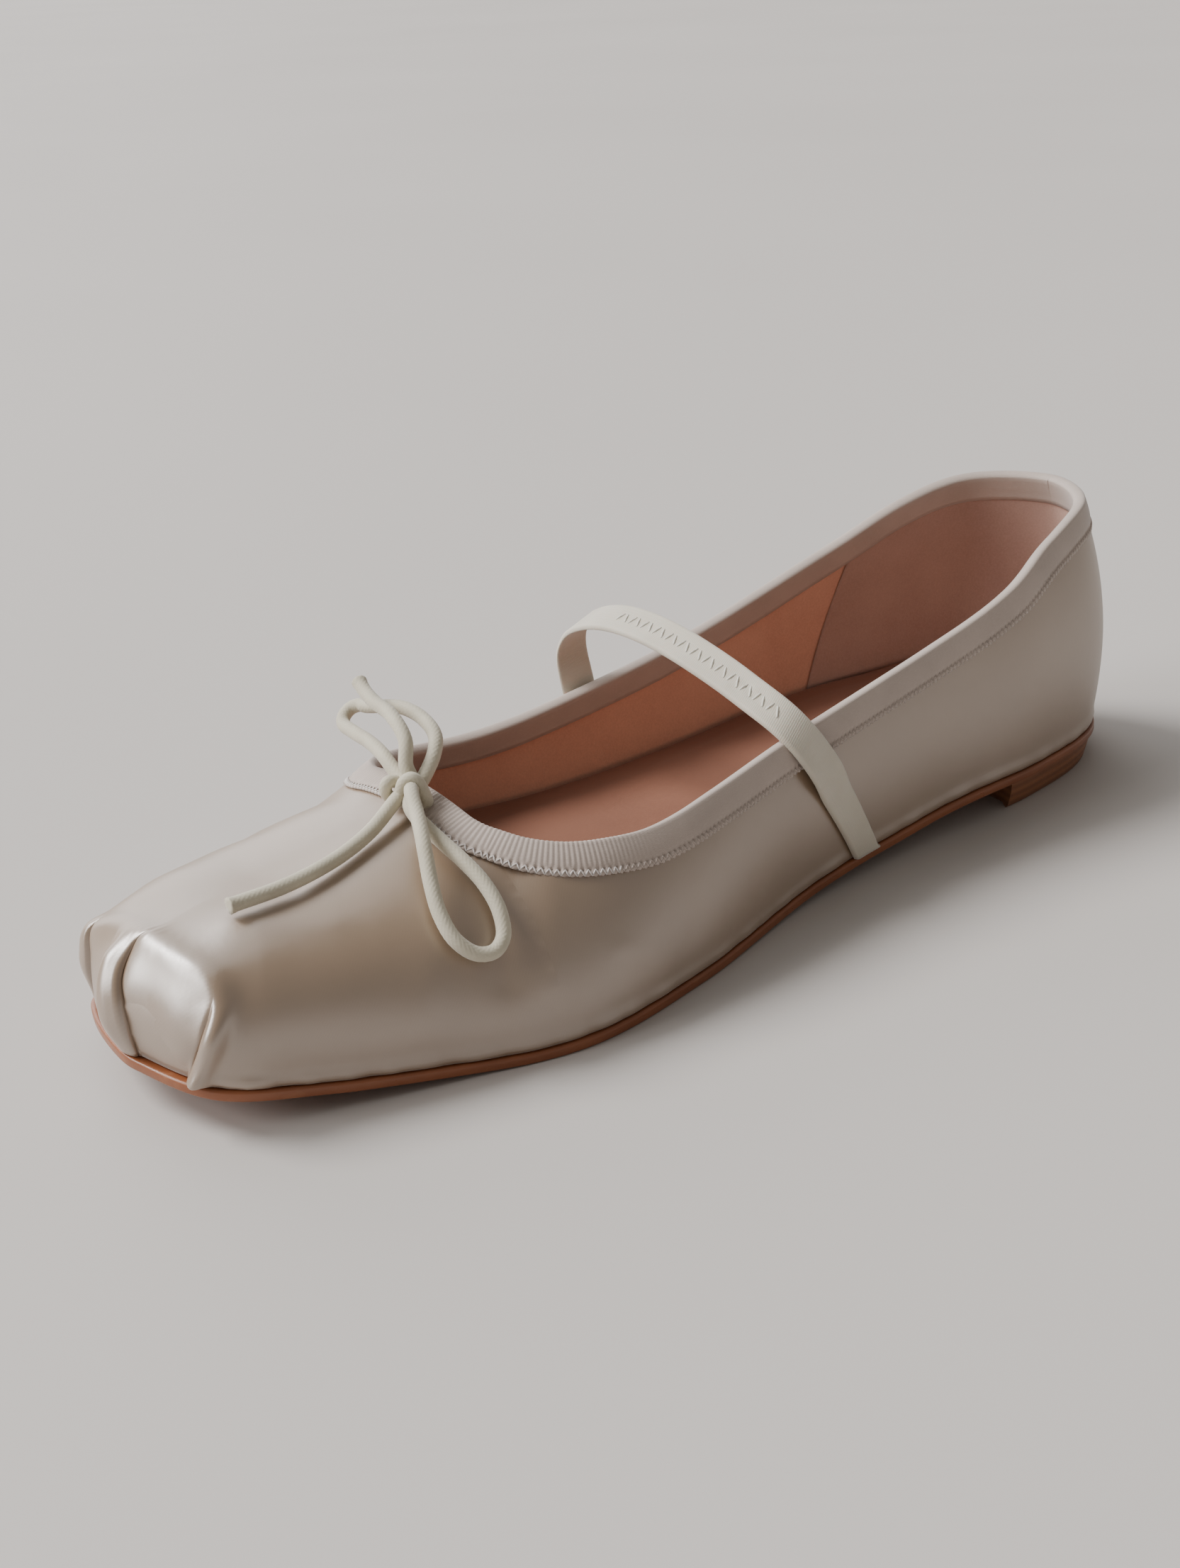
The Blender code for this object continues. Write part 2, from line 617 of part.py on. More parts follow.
def make_slab(name, out, levels, material):
    """Sheet that follows the sole's outline. Levels run from the top down:
    how far in from the edge, and how far over the underside."""
    arcs = sole_sections()
    points = []
    faces = []

    def place(plan, rise):
        points.append((*plan, float(underside(plan[0])) + rise))
        return len(points) - 1

    rings = []
    crossings = []
    for inset, rise in levels:
        lines = {side: edge_line(side, arcs[side], out - inset) for side in SIDES}
        toe, heel = place(lines[INNER][0], rise), place(lines[INNER][-1], rise)
        sides = {side: [place(p, rise) for p in lines[side][1:-1]] for side in SIDES}
        rings.append([toe] + sides[INNER] + [heel] + sides[OUTER][::-1])
        rows = [[toe] * (ACROSS + 1)]
        if (inset, rise) in (levels[0], levels[-1]):
            for a, b, p, q in zip(sides[INNER], sides[OUTER], lines[INNER][1:-1], lines[OUTER][1:-1]):
                inside = [place(p + (q - p) * k / ACROSS, rise) for k in range(1, ACROSS)]
                rows.append([a] + inside + [b])
            crossings.append(rows + [[heel] * (ACROSS + 1)])
    for upper, lower in zip(rings, rings[1:]):
        for k in range(len(upper)):
            after = (k + 1) % len(upper)
            faces.append((upper[k], upper[after], lower[after], lower[k]))
    for rows in crossings:
        for a, b in zip(rows, rows[1:]):
            for k in range(ACROSS):
                faces.append((a[k], a[k + 1], b[k + 1], b[k]))
    faces = [tuple(dict.fromkeys(f)) for f in faces]
    return closed_mesh(name, points, faces, material)


def make_outsole(material):
    levels = [(WELT_EDGE, SOLE), (0.0, SOLE - WELT_EDGE), (0.0, TREAD_EDGE), (TREAD_EDGE, 0.0)]
    return make_slab("outsole", SOLE_OUT, levels, material)


def make_insole(material):
    bottom = SOLE + GAP + MARGIN_THICK + GAP
    levels = [(0.4, bottom + INSOLE), (0.0, bottom + INSOLE - 0.5), (0.0, bottom)]
    return make_slab("insole", -INSOLE_IN, levels, material)


def make_heel(material):
    """Low block with a flat tread, in the outline of the heel seat."""
    plans = {}
    for side in SIDES:
        arcs = np.linspace(arc_at(side, HEEL_BREAST_X), HALF[side], 15)
        plans[side] = arcs
    levels = [(0.0, HEEL_HEIGHT - GAP), (HEEL_TAPER - 0.2, 0.7), (HEEL_TAPER + 0.4, 0.0)]
    rings = []
    for inset, z in levels:
        out = SOLE_OUT - HEEL_IN - inset
        inner, outer = (edge_line(side, plans[side], out) for side in SIDES)
        t = np.linspace(0, 1, 8)[1:-1, None]
        breast = outer[0] + (inner[0] - outer[0]) * t
        breast[:, 0] -= BREAST_HOLLOW * np.sin(math.pi * t[:, 0]) + inset
        plan = np.vstack([inner, outer[-2::-1], breast])
        rings.append(np.column_stack([plan, np.full(len(plan), z)]))
    return swept("heel", np.array(rings).transpose(1, 0, 2), False, material)


# ---- the strap over the instep

STRAP_X = {OUTER: 117.6, INNER: 113.8}      # where it crosses the topline
STRAP_SLANT = {OUTER: 0.30, INNER: 0.62}    # run towards the heel for each step down the wall
STRAP_FOOT = 1.2                            # its ends over the feather line
STRAP_TURN = 14.0                           # from its level foot to where it lies square across
STRAP_GATHER = 0.80                         # share of its width at the foot
STRAP_SPREAD = 26.0                         # from the foot to its full width
STRAP_LEAVES = {OUTER: 29.0, INNER: 38.0}   # height at which it leaves the wall
STRAP_OVER = 0.5                            # between it and the binding
STRAP_RAMP = 9.5                            # it starts to rise this far below the binding
STRAP_ROWS = 9                              # rows up each wall
ARCH = [  # y, z of the strap between the two sides
    (-37.9, 33.4), (-38.0, 37.4), (-35.4, 42.0), (-30.4, 45.1), (-23.5, 47.0), (-15.0, 47.5),
    (-6.0, 46.7), (3.0, 45.0), (11.5, 42.9), (19.0, 40.6)]
STRAP_WIDTHS = (-0.5, -0.17, 0.17, 0.5)     # shares of its width
STRAP_STEPS = 2                             # rows between the arch's points


def strap_side(side):
    """Rows of points and normals up the outside of the wall, from the sole to where it leaves."""
    slant = STRAP_SLANT[side]
    width = STRAP_WIDTH * np.array(STRAP_WIDTHS) / math.hypot(1, slant)
    topline = float(topline_z(side, STRAP_X[side]))
    low = float(feather_z(STRAP_X[side])) + STRAP_FOOT
    over_binding = FOLD_GAP + BINDING + STRAP_OVER
    rows = []
    for height in np.linspace(low, STRAP_LEAVES[side], STRAP_ROWS):
        square = smooth_step((height - low) / STRAP_TURN)
        gather = STRAP_GATHER + (1 - STRAP_GATHER) * smooth_step((height - low) / STRAP_SPREAD)
        x = STRAP_X[side] + slant * (height - topline) + width * gather * (1 + slant**2 * (1 - square))
        z = height - width * gather * slant * square
        arc = arc_of_crest(side, x)
        share = np.clip((z - feather_z(x)) / crest_height(x), 0, 1)
        phi = np.arcsin(share ** (POWER_FOOT / 2))
        bound = smooth_step((z - topline_z(side, x) + BINDING_OUT + STRAP_RAMP) / (STRAP_RAMP - 1.5))
        normal = skin_normal(side, arc, phi)
        rows.append((skin(side, arc, phi) + normal * (GAP + (over_binding - GAP) * bound)[:, None], normal))
    return rows


def make_strap(material):
    """Elastic tape from the sole up one side, over the instep and down the other side."""
    first, last = strap_side(OUTER), strap_side(INNER)[::-1]
    ends = [rows[k][0].mean(axis=0) for rows, k in ((first, -1), (last, 0))]
    middle = [np.array([np.interp(y, [ends[0][1], ends[1][1]], [ends[0][0], ends[1][0]]), y, z])
              for y, z in ARCH]
    guide = [r[0].mean(axis=0) for r in first[-2:]] + middle + [r[0].mean(axis=0) for r in last[:2]]
    line = curve_through(guide, STRAP_STEPS, False)[STRAP_STEPS + 1:-STRAP_STEPS - 1]
    across = [unit(r[0][-1] - r[0][0]) for r in (first[-1], last[0])]
    rows = list(first)
    for i, centre in enumerate(line):
        t = (i + 1) / (len(line) + 1)
        width = unit(across[0] * (1 - t) + across[1] * t)
        before = line[i - 1] if i else first[-1][0].mean(axis=0)
        after = line[i + 1] if i + 1 < len(line) else last[0][0].mean(axis=0)
        normal = unit(np.cross(after - before, width))
        normal = normal if normal @ (centre - (centre[0], 0.0, 25.0)) > 0 else -normal
        points = centre + np.outer(np.array(STRAP_WIDTHS) * STRAP_WIDTH, width)
        rows.append((points, np.tile(normal, (4, 1))))
    rows += last
    face = np.array([r[0] for r in rows])
    normal = np.array([r[1] for r in rows])
    back = face + normal * STRAP_THICK
    edges = [(face[:, k] + back[:, k]) / 2 + (face[:, k] - face[:, 3 - k]) * 0.012 for k in (3, 0)]
    loop = [face[:, k] for k in range(4)] + [edges[0]] + [back[:, k] for k in (3, 2, 1, 0)] + [edges[1]]
    return swept("instep_strap", np.array(loop), False, material)


# ---- the cord bow on the throat

KNOT = (185.4, 3.6, 40.35)
KNOT_SIZE = (3.4, 3.9, 2.7)         # half sizes
BOW = {  # x, y, z by hand, each from the knot outwards
    "bow_loop_inner": [
        (189.2, 8.9, 40.8), (190.6, 12.1, 39.7), (192.5, 16.2, 38.0), (194.4, 20.1, 35.4), (196.1, 23.8, 32.0),
        (197.4, 27.9, 28.4), (197.0, 31.4, 24.8), (194.5, 33.7, 22.2), (191.4, 34.5, 21.8), (188.9, 33.8, 23.4),
        (187.7, 31.3, 27.0), (187.6, 27.0, 30.5), (188.3, 22.0, 33.2), (188.9, 17.2, 35.0), (189.1, 12.7, 36.3),
        (188.9, 9.0, 37.2)],
    "bow_loop_outer": [
        (186.3, -0.5, 41.5), (185.5, -6.0, 43.1), (184.1, -12.5, 43.0), (183.1, -20.0, 42.5), (182.0, -25.2, 42.2),
        (179.8, -26.8, 43.2), (178.0, -23.2, 45.0), (177.3, -17.6, 46.7), (176.6, -12.2, 47.8), (176.5, -6.0, 47.6),
        (177.9, 0.1, 46.3), (180.5, 3.2, 44.5)],
    "bow_tail_front": [
        (188.8, 3.8, 39.1), (196.2, 6.1, 35.9), (202.8, 7.7, 34.3), (209.6, 8.7, 33.4), (216.5, 9.1, 32.9),
        (226.3, 9.0, 32.9)],
    "bow_tail_back": [
        (185.8, 2.2, 43.6), (184.5, 0.5, 47.5), (183.0, -6.0, 50.0), (182.2, -12.5, 50.3), (181.3, -17.3, 50.8),
        (180.7, -20.2, 51.8)]}


def make_knot(material):
    """Two turns of cord pulled tight, as one rounded lump with a groove between them."""
    bm = bmesh.new()
    bmesh.ops.create_uvsphere(bm, u_segments=16, v_segments=9, radius=1.0)
    for v in bm.verts:
        around = math.atan2(v.co.z, v.co.x)
        groove = 1 - 0.10 * math.exp(-(v.co.y / 0.22) ** 2) * (1 + math.cos(around))
        v.co = [(c + v.co[i] * s * groove) for i, (c, s) in enumerate(zip(KNOT, KNOT_SIZE))]
    points = [tuple(v.co) for v in bm.verts]
    faces = [[v.index for v in f.verts] for f in bm.faces]
    bm.free()
    return closed_mesh("bow_knot", points, faces, material)


def even_route(route):
    """Points at even steps along the smooth curve through a route."""
    dense = curve_through(route, 8, False)
    run = lengths_along(dense)
    at = np.linspace(0, run[-1], round(run[-1] / CORD_STEP) + 1)
    return np.stack([np.interp(at, run, dense[:, k]) for k in range(3)], -1)


def make_cord(name, route, material):
    points = even_route(route)
    curve = bpy.data.curves.new(name, "CURVE")
    curve.dimensions = "3D"
    curve.bevel_depth = CORD / 2 * MM
    curve.bevel_resolution = 2
    curve.use_fill_caps = True
    spline = curve.splines.new("POLY")
    spline.points.add(len(points) - 1)
    for point, place in zip(spline.points, in_metres(points)):
        point.co = (*place, 1.0)
    obj = bpy.data.objects.new(name, curve)
    bpy.context.collection.objects.link(obj)
    obj.data.materials.append(material)
    return obj


# ---- materials and the whole shoe

FINISHES = {  # colour, roughness
    "satin": ((0.42, 0.36, 0.28), 0.38),
    "grosgrain": ((0.52, 0.44, 0.38), 0.70),
    "elastic": ((0.70, 0.65, 0.54), 0.80),
    "cord": ((0.62, 0.59, 0.48), 0.75),
    "lining": ((0.55, 0.28, 0.19), 0.85),
    "sole": ((0.38, 0.15, 0.07), 0.35)}


def make_material(name):
    colour, roughness = FINISHES[name]
    material = bpy.data.materials.new(name)
    material.use_nodes = True
    shader = material.node_tree.nodes["Principled BSDF"]
    shader.inputs["Base Color"].default_value = (*colour, 1.0)
    shader.inputs["Roughness"].default_value = roughness
    shader.inputs["Metallic"].default_value = 0.0
    return material


def main():
    for obj in list(bpy.data.objects):
        bpy.data.objects.remove(obj, do_unlink=True)
    finish = {name: make_material(name) for name in FINISHES}
    make_outsole(finish["sole"])
    make_heel(finish["sole"])
    make_insole(finish["lining"])
    make_upper(Ring(), finish["satin"])
    make_binding(finish["grosgrain"])
    make_strap(finish["elastic"])
    make_knot(finish["cord"])
    for name, route in BOW.items():
        make_cord(name, route, finish["cord"])


main()
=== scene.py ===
"""Looks of the ballet flat: satin, lining, grosgrain, elastic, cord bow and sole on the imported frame.

The last is the one the solids are made from, in the same millimetres: x from the heel to the
toe, y to the wearer's left (the inner side), z up from the floor. TREAD_X is the frame's x = 0.
"""
import bmesh
import bpy
import math
import numpy as np
from mathutils import Matrix, Vector


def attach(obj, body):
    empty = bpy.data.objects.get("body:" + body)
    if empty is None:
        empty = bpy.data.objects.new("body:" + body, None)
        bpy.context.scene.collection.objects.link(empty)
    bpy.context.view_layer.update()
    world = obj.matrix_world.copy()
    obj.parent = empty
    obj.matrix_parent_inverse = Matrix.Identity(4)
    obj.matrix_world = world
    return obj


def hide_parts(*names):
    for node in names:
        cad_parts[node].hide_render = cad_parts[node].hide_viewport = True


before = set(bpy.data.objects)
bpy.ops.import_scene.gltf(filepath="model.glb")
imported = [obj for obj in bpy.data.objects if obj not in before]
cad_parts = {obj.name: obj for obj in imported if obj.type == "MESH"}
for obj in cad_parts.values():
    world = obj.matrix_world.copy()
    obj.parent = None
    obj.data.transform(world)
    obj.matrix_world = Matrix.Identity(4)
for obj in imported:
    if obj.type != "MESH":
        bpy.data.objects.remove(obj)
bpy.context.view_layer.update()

MM = 0.001
INNER, OUTER = 1, -1
SIDES = (INNER, OUTER)

# ---- the shoe's sizes, millimetres
LENGTH, HEEL_X, BALL_WIDTH, INSTEP = 243.0, 2.0, 84.4, 35.0
BACK_HEIGHT, HEEL_HEIGHT, TOE_SPRING = 60.0, 6.4, 8.0
THROAT_X, TREAD_X = 181.5, 167.0
WALL, GAP = 1.5, 0.3
SOLE, SOLE_OUT = 2.1, 0.8
MARGIN, MARGIN_THICK = 9.0, 1.2
INSOLE, INSOLE_IN = 4.0, 2.7
BINDING, FOLD_GAP, BINDING_OUT = 0.6, 0.4, 6.3
STRAP_WIDTH, STRAP_THICK = 8.0, 1.2
CORD = 2.6

PLAN = {
    INNER: [  # share of LENGTH, share of BALL_WIDTH
        (1.000, 0.023), (0.997, 0.072), (0.972, 0.242), (0.905, 0.325), (0.815, 0.406), (0.716, 0.483),
        (0.601, 0.445), (0.453, 0.343), (0.305, 0.319), (0.164, 0.328), (0.050, 0.243), (0.000, 0.000)],
    OUTER: [
        (1.000, -0.023), (0.992, 0.152), (0.977, 0.240), (0.894, 0.337), (0.782, 0.431), (0.658, 0.517),
        (0.535, 0.455), (0.403, 0.400), (0.280, 0.379), (0.164, 0.331), (0.050, 0.243), (0.000, 0.000)]}
CREST = [  # x, share of INSTEP
    (0, 2.303), (60, 2.188), (100, 1.903), (140, 1.474), (166, 1.188), (180, 1.023), (196, 0.883),
    (212, 0.754), (226, 0.689), (236, 0.620), (244, 0.589)]
TOPLINE = [  # x, share of BACK_HEIGHT
    (2, 1.000), (22, 1.000), (35, 0.930), (50, 0.822), (65, 0.745), (80, 0.687), (110, 0.598),
    (138, 0.542)]
THROAT_EDGE = [  # how far behind THROAT_X the topline has fallen, and by how much
    (26.5, 6.7), (17.0, 6.1), (12.0, 5.6), (6.2, 4.5), (3.2, 3.4), (0.9, 2.2), (0.0, 0.0)]
OUTER_DROP = [  # x, how much lower the outer side's topline is
    (24, 0.0), (40, 0.6), (55, 1.7), (80, 4.2), (110, 5.7), (140, 7.2), (160, 5.0), (181.5, 0.0)]
UNDERSIDE = [  # x, share of HEEL_HEIGHT
    (-5, 1.0), (50, 1.0), (90, 0.515), (130, 0.047), (150, 0.0), (185, 0.0)]
TOE_ROCKER_X, TOE_ROCKER, TOE_TIP_X = 215.0, 2.6, 250.0
POWER_FOOT, POWER_TOE, POWER_FROM, POWER_SPAN = 1.95, 3.3, 190.0, 40.0
BULGE, BULGE_SPAN = 2.2, 52.0
TOE_BULGE, TOE_BULGE_SPAN = 1.8, 24.0
CORNER_BULGE, CORNER_ARC = {INNER: 1.3, OUTER: 0.3}, 14.0
TOE_FROM, TOE_FULL = 212.0, 236.0
TOE_POLE, TOE_FAN = 222.0, 188.0
HEEL_POLE, HEEL_FAN = 24.0, 42.0
TOE_SLOPES, HEEL_SLOPES = (-0.12, -0.97), (-0.99, -0.05)        # of the crest's x, at the ends of each fan
MIDDLE_SPAN, MIDDLE_STEPS, MIDDLE_CALM = (10, 232), 60, 6
TOPLINE_SAMPLES, THROAT_CLOSER = 1200, 1.8
CURVE_STEPS = 24        # to each span of the feather line and the cords


# ---- small tools

def hermite(a, b, slope_a, slope_b, t):
    """Cubic from a to b for t from 0 to 1, with these slopes at its ends."""
    return (a * (2 * t**3 - 3 * t**2 + 1) + b * (3 * t**2 - 2 * t**3)
            + slope_a * (t**3 - 2 * t**2 + t) + slope_b * (t**3 - t**2))


def smooth_table(rows, x):
    """Values between the rows of a two-column table, by a cubic that never overshoots."""
    xs, ys = np.array(sorted(rows), float).T
    step = np.diff(xs)
    slope = np.diff(ys) / step
    tangent = np.concatenate([slope[:1], np.zeros(len(xs) - 2), slope[-1:]])
    for i in range(1, len(xs) - 1):
        if slope[i - 1] * slope[i] > 0:
            w1, w2 = 2 * step[i] + step[i - 1], step[i] + 2 * step[i - 1]
            tangent[i] = (w1 + w2) / (w1 / slope[i - 1] + w2 / slope[i])
    x = np.clip(x, xs[0], xs[-1])
    k = np.clip(np.searchsorted(xs, x) - 1, 0, len(step) - 1)
    return hermite(ys[k], ys[k + 1], step[k] * tangent[k], step[k] * tangent[k + 1], (x - xs[k]) / step[k])


def ease(t):
    """0 up to 0, 1 from 1 on, and smooth between."""
    t = np.clip(t, 0.0, 1.0)
    return t * t * (3 - 2 * t)


def hump(t):
    """1 at 0, falling softly to nothing at about 2."""
    return np.exp(-np.asarray(t, float) ** 2)


def unit(v):
    return v / np.maximum(np.linalg.norm(v, axis=-1, keepdims=True), 1e-9)


def curve_through(points, per, closed=False):
    """Centripetal Catmull-Rom curve, `per` steps to a span."""
    p = np.array(points, float)
    if not closed:
        p = np.vstack([2 * p[0] - p[1], p, 2 * p[-1] - p[-2]])
    out = []
    for i in range(len(p)) if closed else range(1, len(p) - 2):
        a, b, c, d = (p[(i + k) % len(p)] for k in (-1, 0, 1, 2))
        before, here, after = (np.linalg.norm(leg) ** 0.5 for leg in (b - a, c - b, d - c))
        leave = c - b + here * ((b - a) / before - (c - a) / (before + here))
        arrive = c - b + here * ((d - c) / after - (d - b) / (here + after))
        out.append(hermite(b, c, leave, arrive, np.linspace(0, 1, per, endpoint=False)[:, None]))
    return np.concatenate(out if closed else out + [p[-2:-1]])


def lengths_along(points, closed=False):
    points = np.vstack([points, points[:1]]) if closed else points
    return np.concatenate([[0.0], np.cumsum(np.linalg.norm(np.diff(points, axis=0), axis=1))])


def points_at(line, run, at):
    """Points of a line at these distances along it."""
    return np.stack([np.interp(at, run, column) for column in line.T], -1)


def even_points(line, step):
    run = lengths_along(line)
    return points_at(line, run, np.linspace(0, run[-1], max(2, round(run[-1] / step)) + 1))


# ---- the last

def feather_lines():
    """Both halves of the line where upper and sole meet, from the toe centre to the heel centre."""
    rows = {side: [(HEEL_X + LENGTH * s, side * BALL_WIDTH * w) for s, w in PLAN[side]] for side in SIDES}
    ring = curve_through(rows[INNER] + rows[OUTER][-2:0:-1], CURVE_STEPS, True)
    split = CURVE_STEPS * (len(PLAN[INNER]) - 1)
    return {INNER: ring[:split + 1], OUTER: np.vstack([ring[split:], ring[:1]])[::-1]}


FEATHER = feather_lines()
ROUND = {side: lengths_along(FEATHER[side]) for side in SIDES}
HALF = {side: ROUND[side][-1] for side in SIDES}


def foot(side, arc):
    """Place on the feather line, in plan."""
    return points_at(FEATHER[side], ROUND[side], arc)


def outward(side, arc):
    """Unit normal of the feather line in plan."""
    t = unit(foot(side, np.minimum(arc + 0.5, HALF[side])) - foot(side, np.maximum(arc - 0.5, 0.0)))
    return np.stack([t[..., 1], -t[..., 0]], -1) * side


def arc_at(side, x):
    x_line = FEATHER[side][:, 0]
    first = max(int(np.argmax(x_line < x)), 1) - 1
    return float(np.interp(-x, -x_line[first:], ROUND[side][first:]))


FAN_ARC = {side: arc_at(side, TOE_FAN) for side in SIDES}
HEEL_ARC = {side: arc_at(side, HEEL_FAN) for side in SIDES}


def crest_x(side, arc):
    """Where the section from this place on the feather line meets the crest: the sections fan out
    from a pole at the toe and from another at the heel."""
    arc = np.asarray(arc, float)
    fan, start = FAN_ARC[side], HEEL_ARC[side]
    span = HALF[side] - start
    toe = hermite(TOE_POLE, TOE_FAN, *(s * fan for s in TOE_SLOPES), np.clip(arc / fan, 0, 1))
    heel = hermite(HEEL_FAN, HEEL_POLE, *(s * span for s in HEEL_SLOPES), np.clip((arc - start) / span, 0, 1))
    return np.where(arc < fan, toe, np.where(arc > start, heel, foot(side, arc)[..., 0]))


def crest_table(side):
    """The crest's place against the feather line's, for reading backwards."""
    arcs = np.linspace(0, HALF[side], 6000)
    return -np.maximum.accumulate(crest_x(side, arcs)[::-1])[::-1], arcs


CREST_TABLE = {side: crest_table(side) for side in SIDES}


def arc_of_crest(side, x):
    return np.interp(-np.asarray(x, float), *CREST_TABLE[side])


def middle_line():
    """Smoothed middle of the feather line, as x and y."""
    x = np.linspace(*MIDDLE_SPAN, MIDDLE_STEPS)
    sides = [np.interp(-x, *(FEATHER[side][CURVE_STEPS:] * (-1, 1)).T) for side in SIDES]
    middle = np.pad((sides[0] + sides[1]) / 2, MIDDLE_CALM, mode="edge")
    width = 2 * MIDDLE_CALM + 1
    return x, np.convolve(middle, np.ones(width) / width, "valid")


MIDDLE = middle_line()


def crest_y(x):
    return np.interp(x, *MIDDLE)


def underside(x):
    toe = [(TOE_ROCKER_X, TOE_ROCKER), (TOE_TIP_X, TOE_SPRING)]
    return smooth_table([(a, b * HEEL_HEIGHT) for a, b in UNDERSIDE] + toe, x)


def feather_z(x):
    return underside(x) + SOLE + GAP


def crest_height(x):
    return smooth_table([(a, b * INSTEP) for a, b in CREST], x)


def topline_z(side, x):
    top = float(feather_z(THROAT_X) + crest_height(THROAT_X))
    rows = [(a, b * BACK_HEIGHT) for a, b in TOPLINE]
    rows += [(THROAT_X - back, top - drop) for back, drop in THROAT_EDGE]
    return smooth_table(rows, x) - (smooth_table(OUTER_DROP, x) if side == OUTER else 0)


def section_power(x):
    """Exponent of the sections: squarer towards the toe."""
    return POWER_FOOT + (POWER_TOE - POWER_FOOT) * np.clip((x - POWER_FROM) / POWER_SPAN, 0, 1)


def skin(side, arc, phi):
    """Outer surface of the upper: phi runs from 0 at the feather line to pi/2 at the crest."""
    arc, phi = np.broadcast_arrays(np.asarray(arc, float), np.asarray(phi, float))
    base = foot(side, arc)
    top_x = crest_x(side, arc)
    crest = np.stack([top_x, crest_y(top_x)], -1)
    power = section_power(base[..., 0])
    cos = np.clip(np.cos(phi), 0, 1)
    rise = np.clip(np.sin(phi), 0, 1) ** (2 / power)
    plan = base + (crest - base) * (1 - cos ** (2 / power))[..., None]
    height = crest_height(plan[..., 0]) * rise
    toe = ease((base[..., 0] - TOE_FROM) / (TOE_FULL - TOE_FROM))
    corner = TOE_BULGE + (CORNER_BULGE[side] - TOE_BULGE) * ease(arc / CORNER_ARC)
    swell = (BULGE * np.sin(math.pi * np.clip(height / BULGE_SPAN, 0, 1)) * (1 - toe)
             + corner * np.sin(math.pi * np.clip(height / TOE_BULGE_SPAN, 0, 1)) * toe) * cos
    plan_out = plan + outward(side, arc) * swell[..., None]
    return np.concatenate([plan_out, (feather_z(plan[..., 0]) + height)[..., None]], -1)


def skin_normal(side, arc, phi):
    d_arc = skin(side, np.minimum(arc + 0.4, HALF[side]), phi) - skin(side, np.maximum(arc - 0.4, 0), phi)
    d_phi = skin(side, arc, np.minimum(phi + 0.01, math.pi / 2)) - skin(side, arc, np.maximum(phi - 0.01, 0))
    return unit(np.cross(d_arc, d_phi)) * side


def topline_phi(side, arc):
    """How far up its section the topline cuts each place."""
    base_x = foot(side, arc)[..., 0]
    power, high = section_power(base_x), crest_height(base_x)
    goal = topline_z(side, crest_x(side, arc))
    share = np.clip((goal - feather_z(base_x)) / high, 0, 1)
    for _ in range(8):
        phi = np.arcsin(share ** (power / 2))
        share = np.clip(share + (goal - skin(side, arc, phi)[..., 2]) / high, 0, 1)
    return np.arcsin(share ** (power / 2))


def topline_arcs(side, step):
    """Places on the feather line under evenly spaced points of the topline, throat to heel."""
    share = np.linspace(0, 1, TOPLINE_SAMPLES)**THROAT_CLOSER
    arcs = arc_of_crest(side, THROAT_X - (THROAT_X - HEEL_POLE) * share)
    arcs[-1] = HALF[side]
    run = lengths_along(skin(side, arcs, topline_phi(side, arcs)))
    return np.interp(np.linspace(0, run[-1], int(round(run[-1] / step)) + 1), run, arcs)


# ---- meshes

def in_metres(points):
    return (np.array(points, float) - (TREAD_X, 0, 0)) * MM


def stand_in(piece, node):
    """Hides the solid that a piece takes the place of, if it has one."""
    if node:
        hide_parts(node)
    return piece


def place_object(name, data):
    item = bpy.data.objects.new(name, data)
    bpy.context.collection.objects.link(item)
    return item


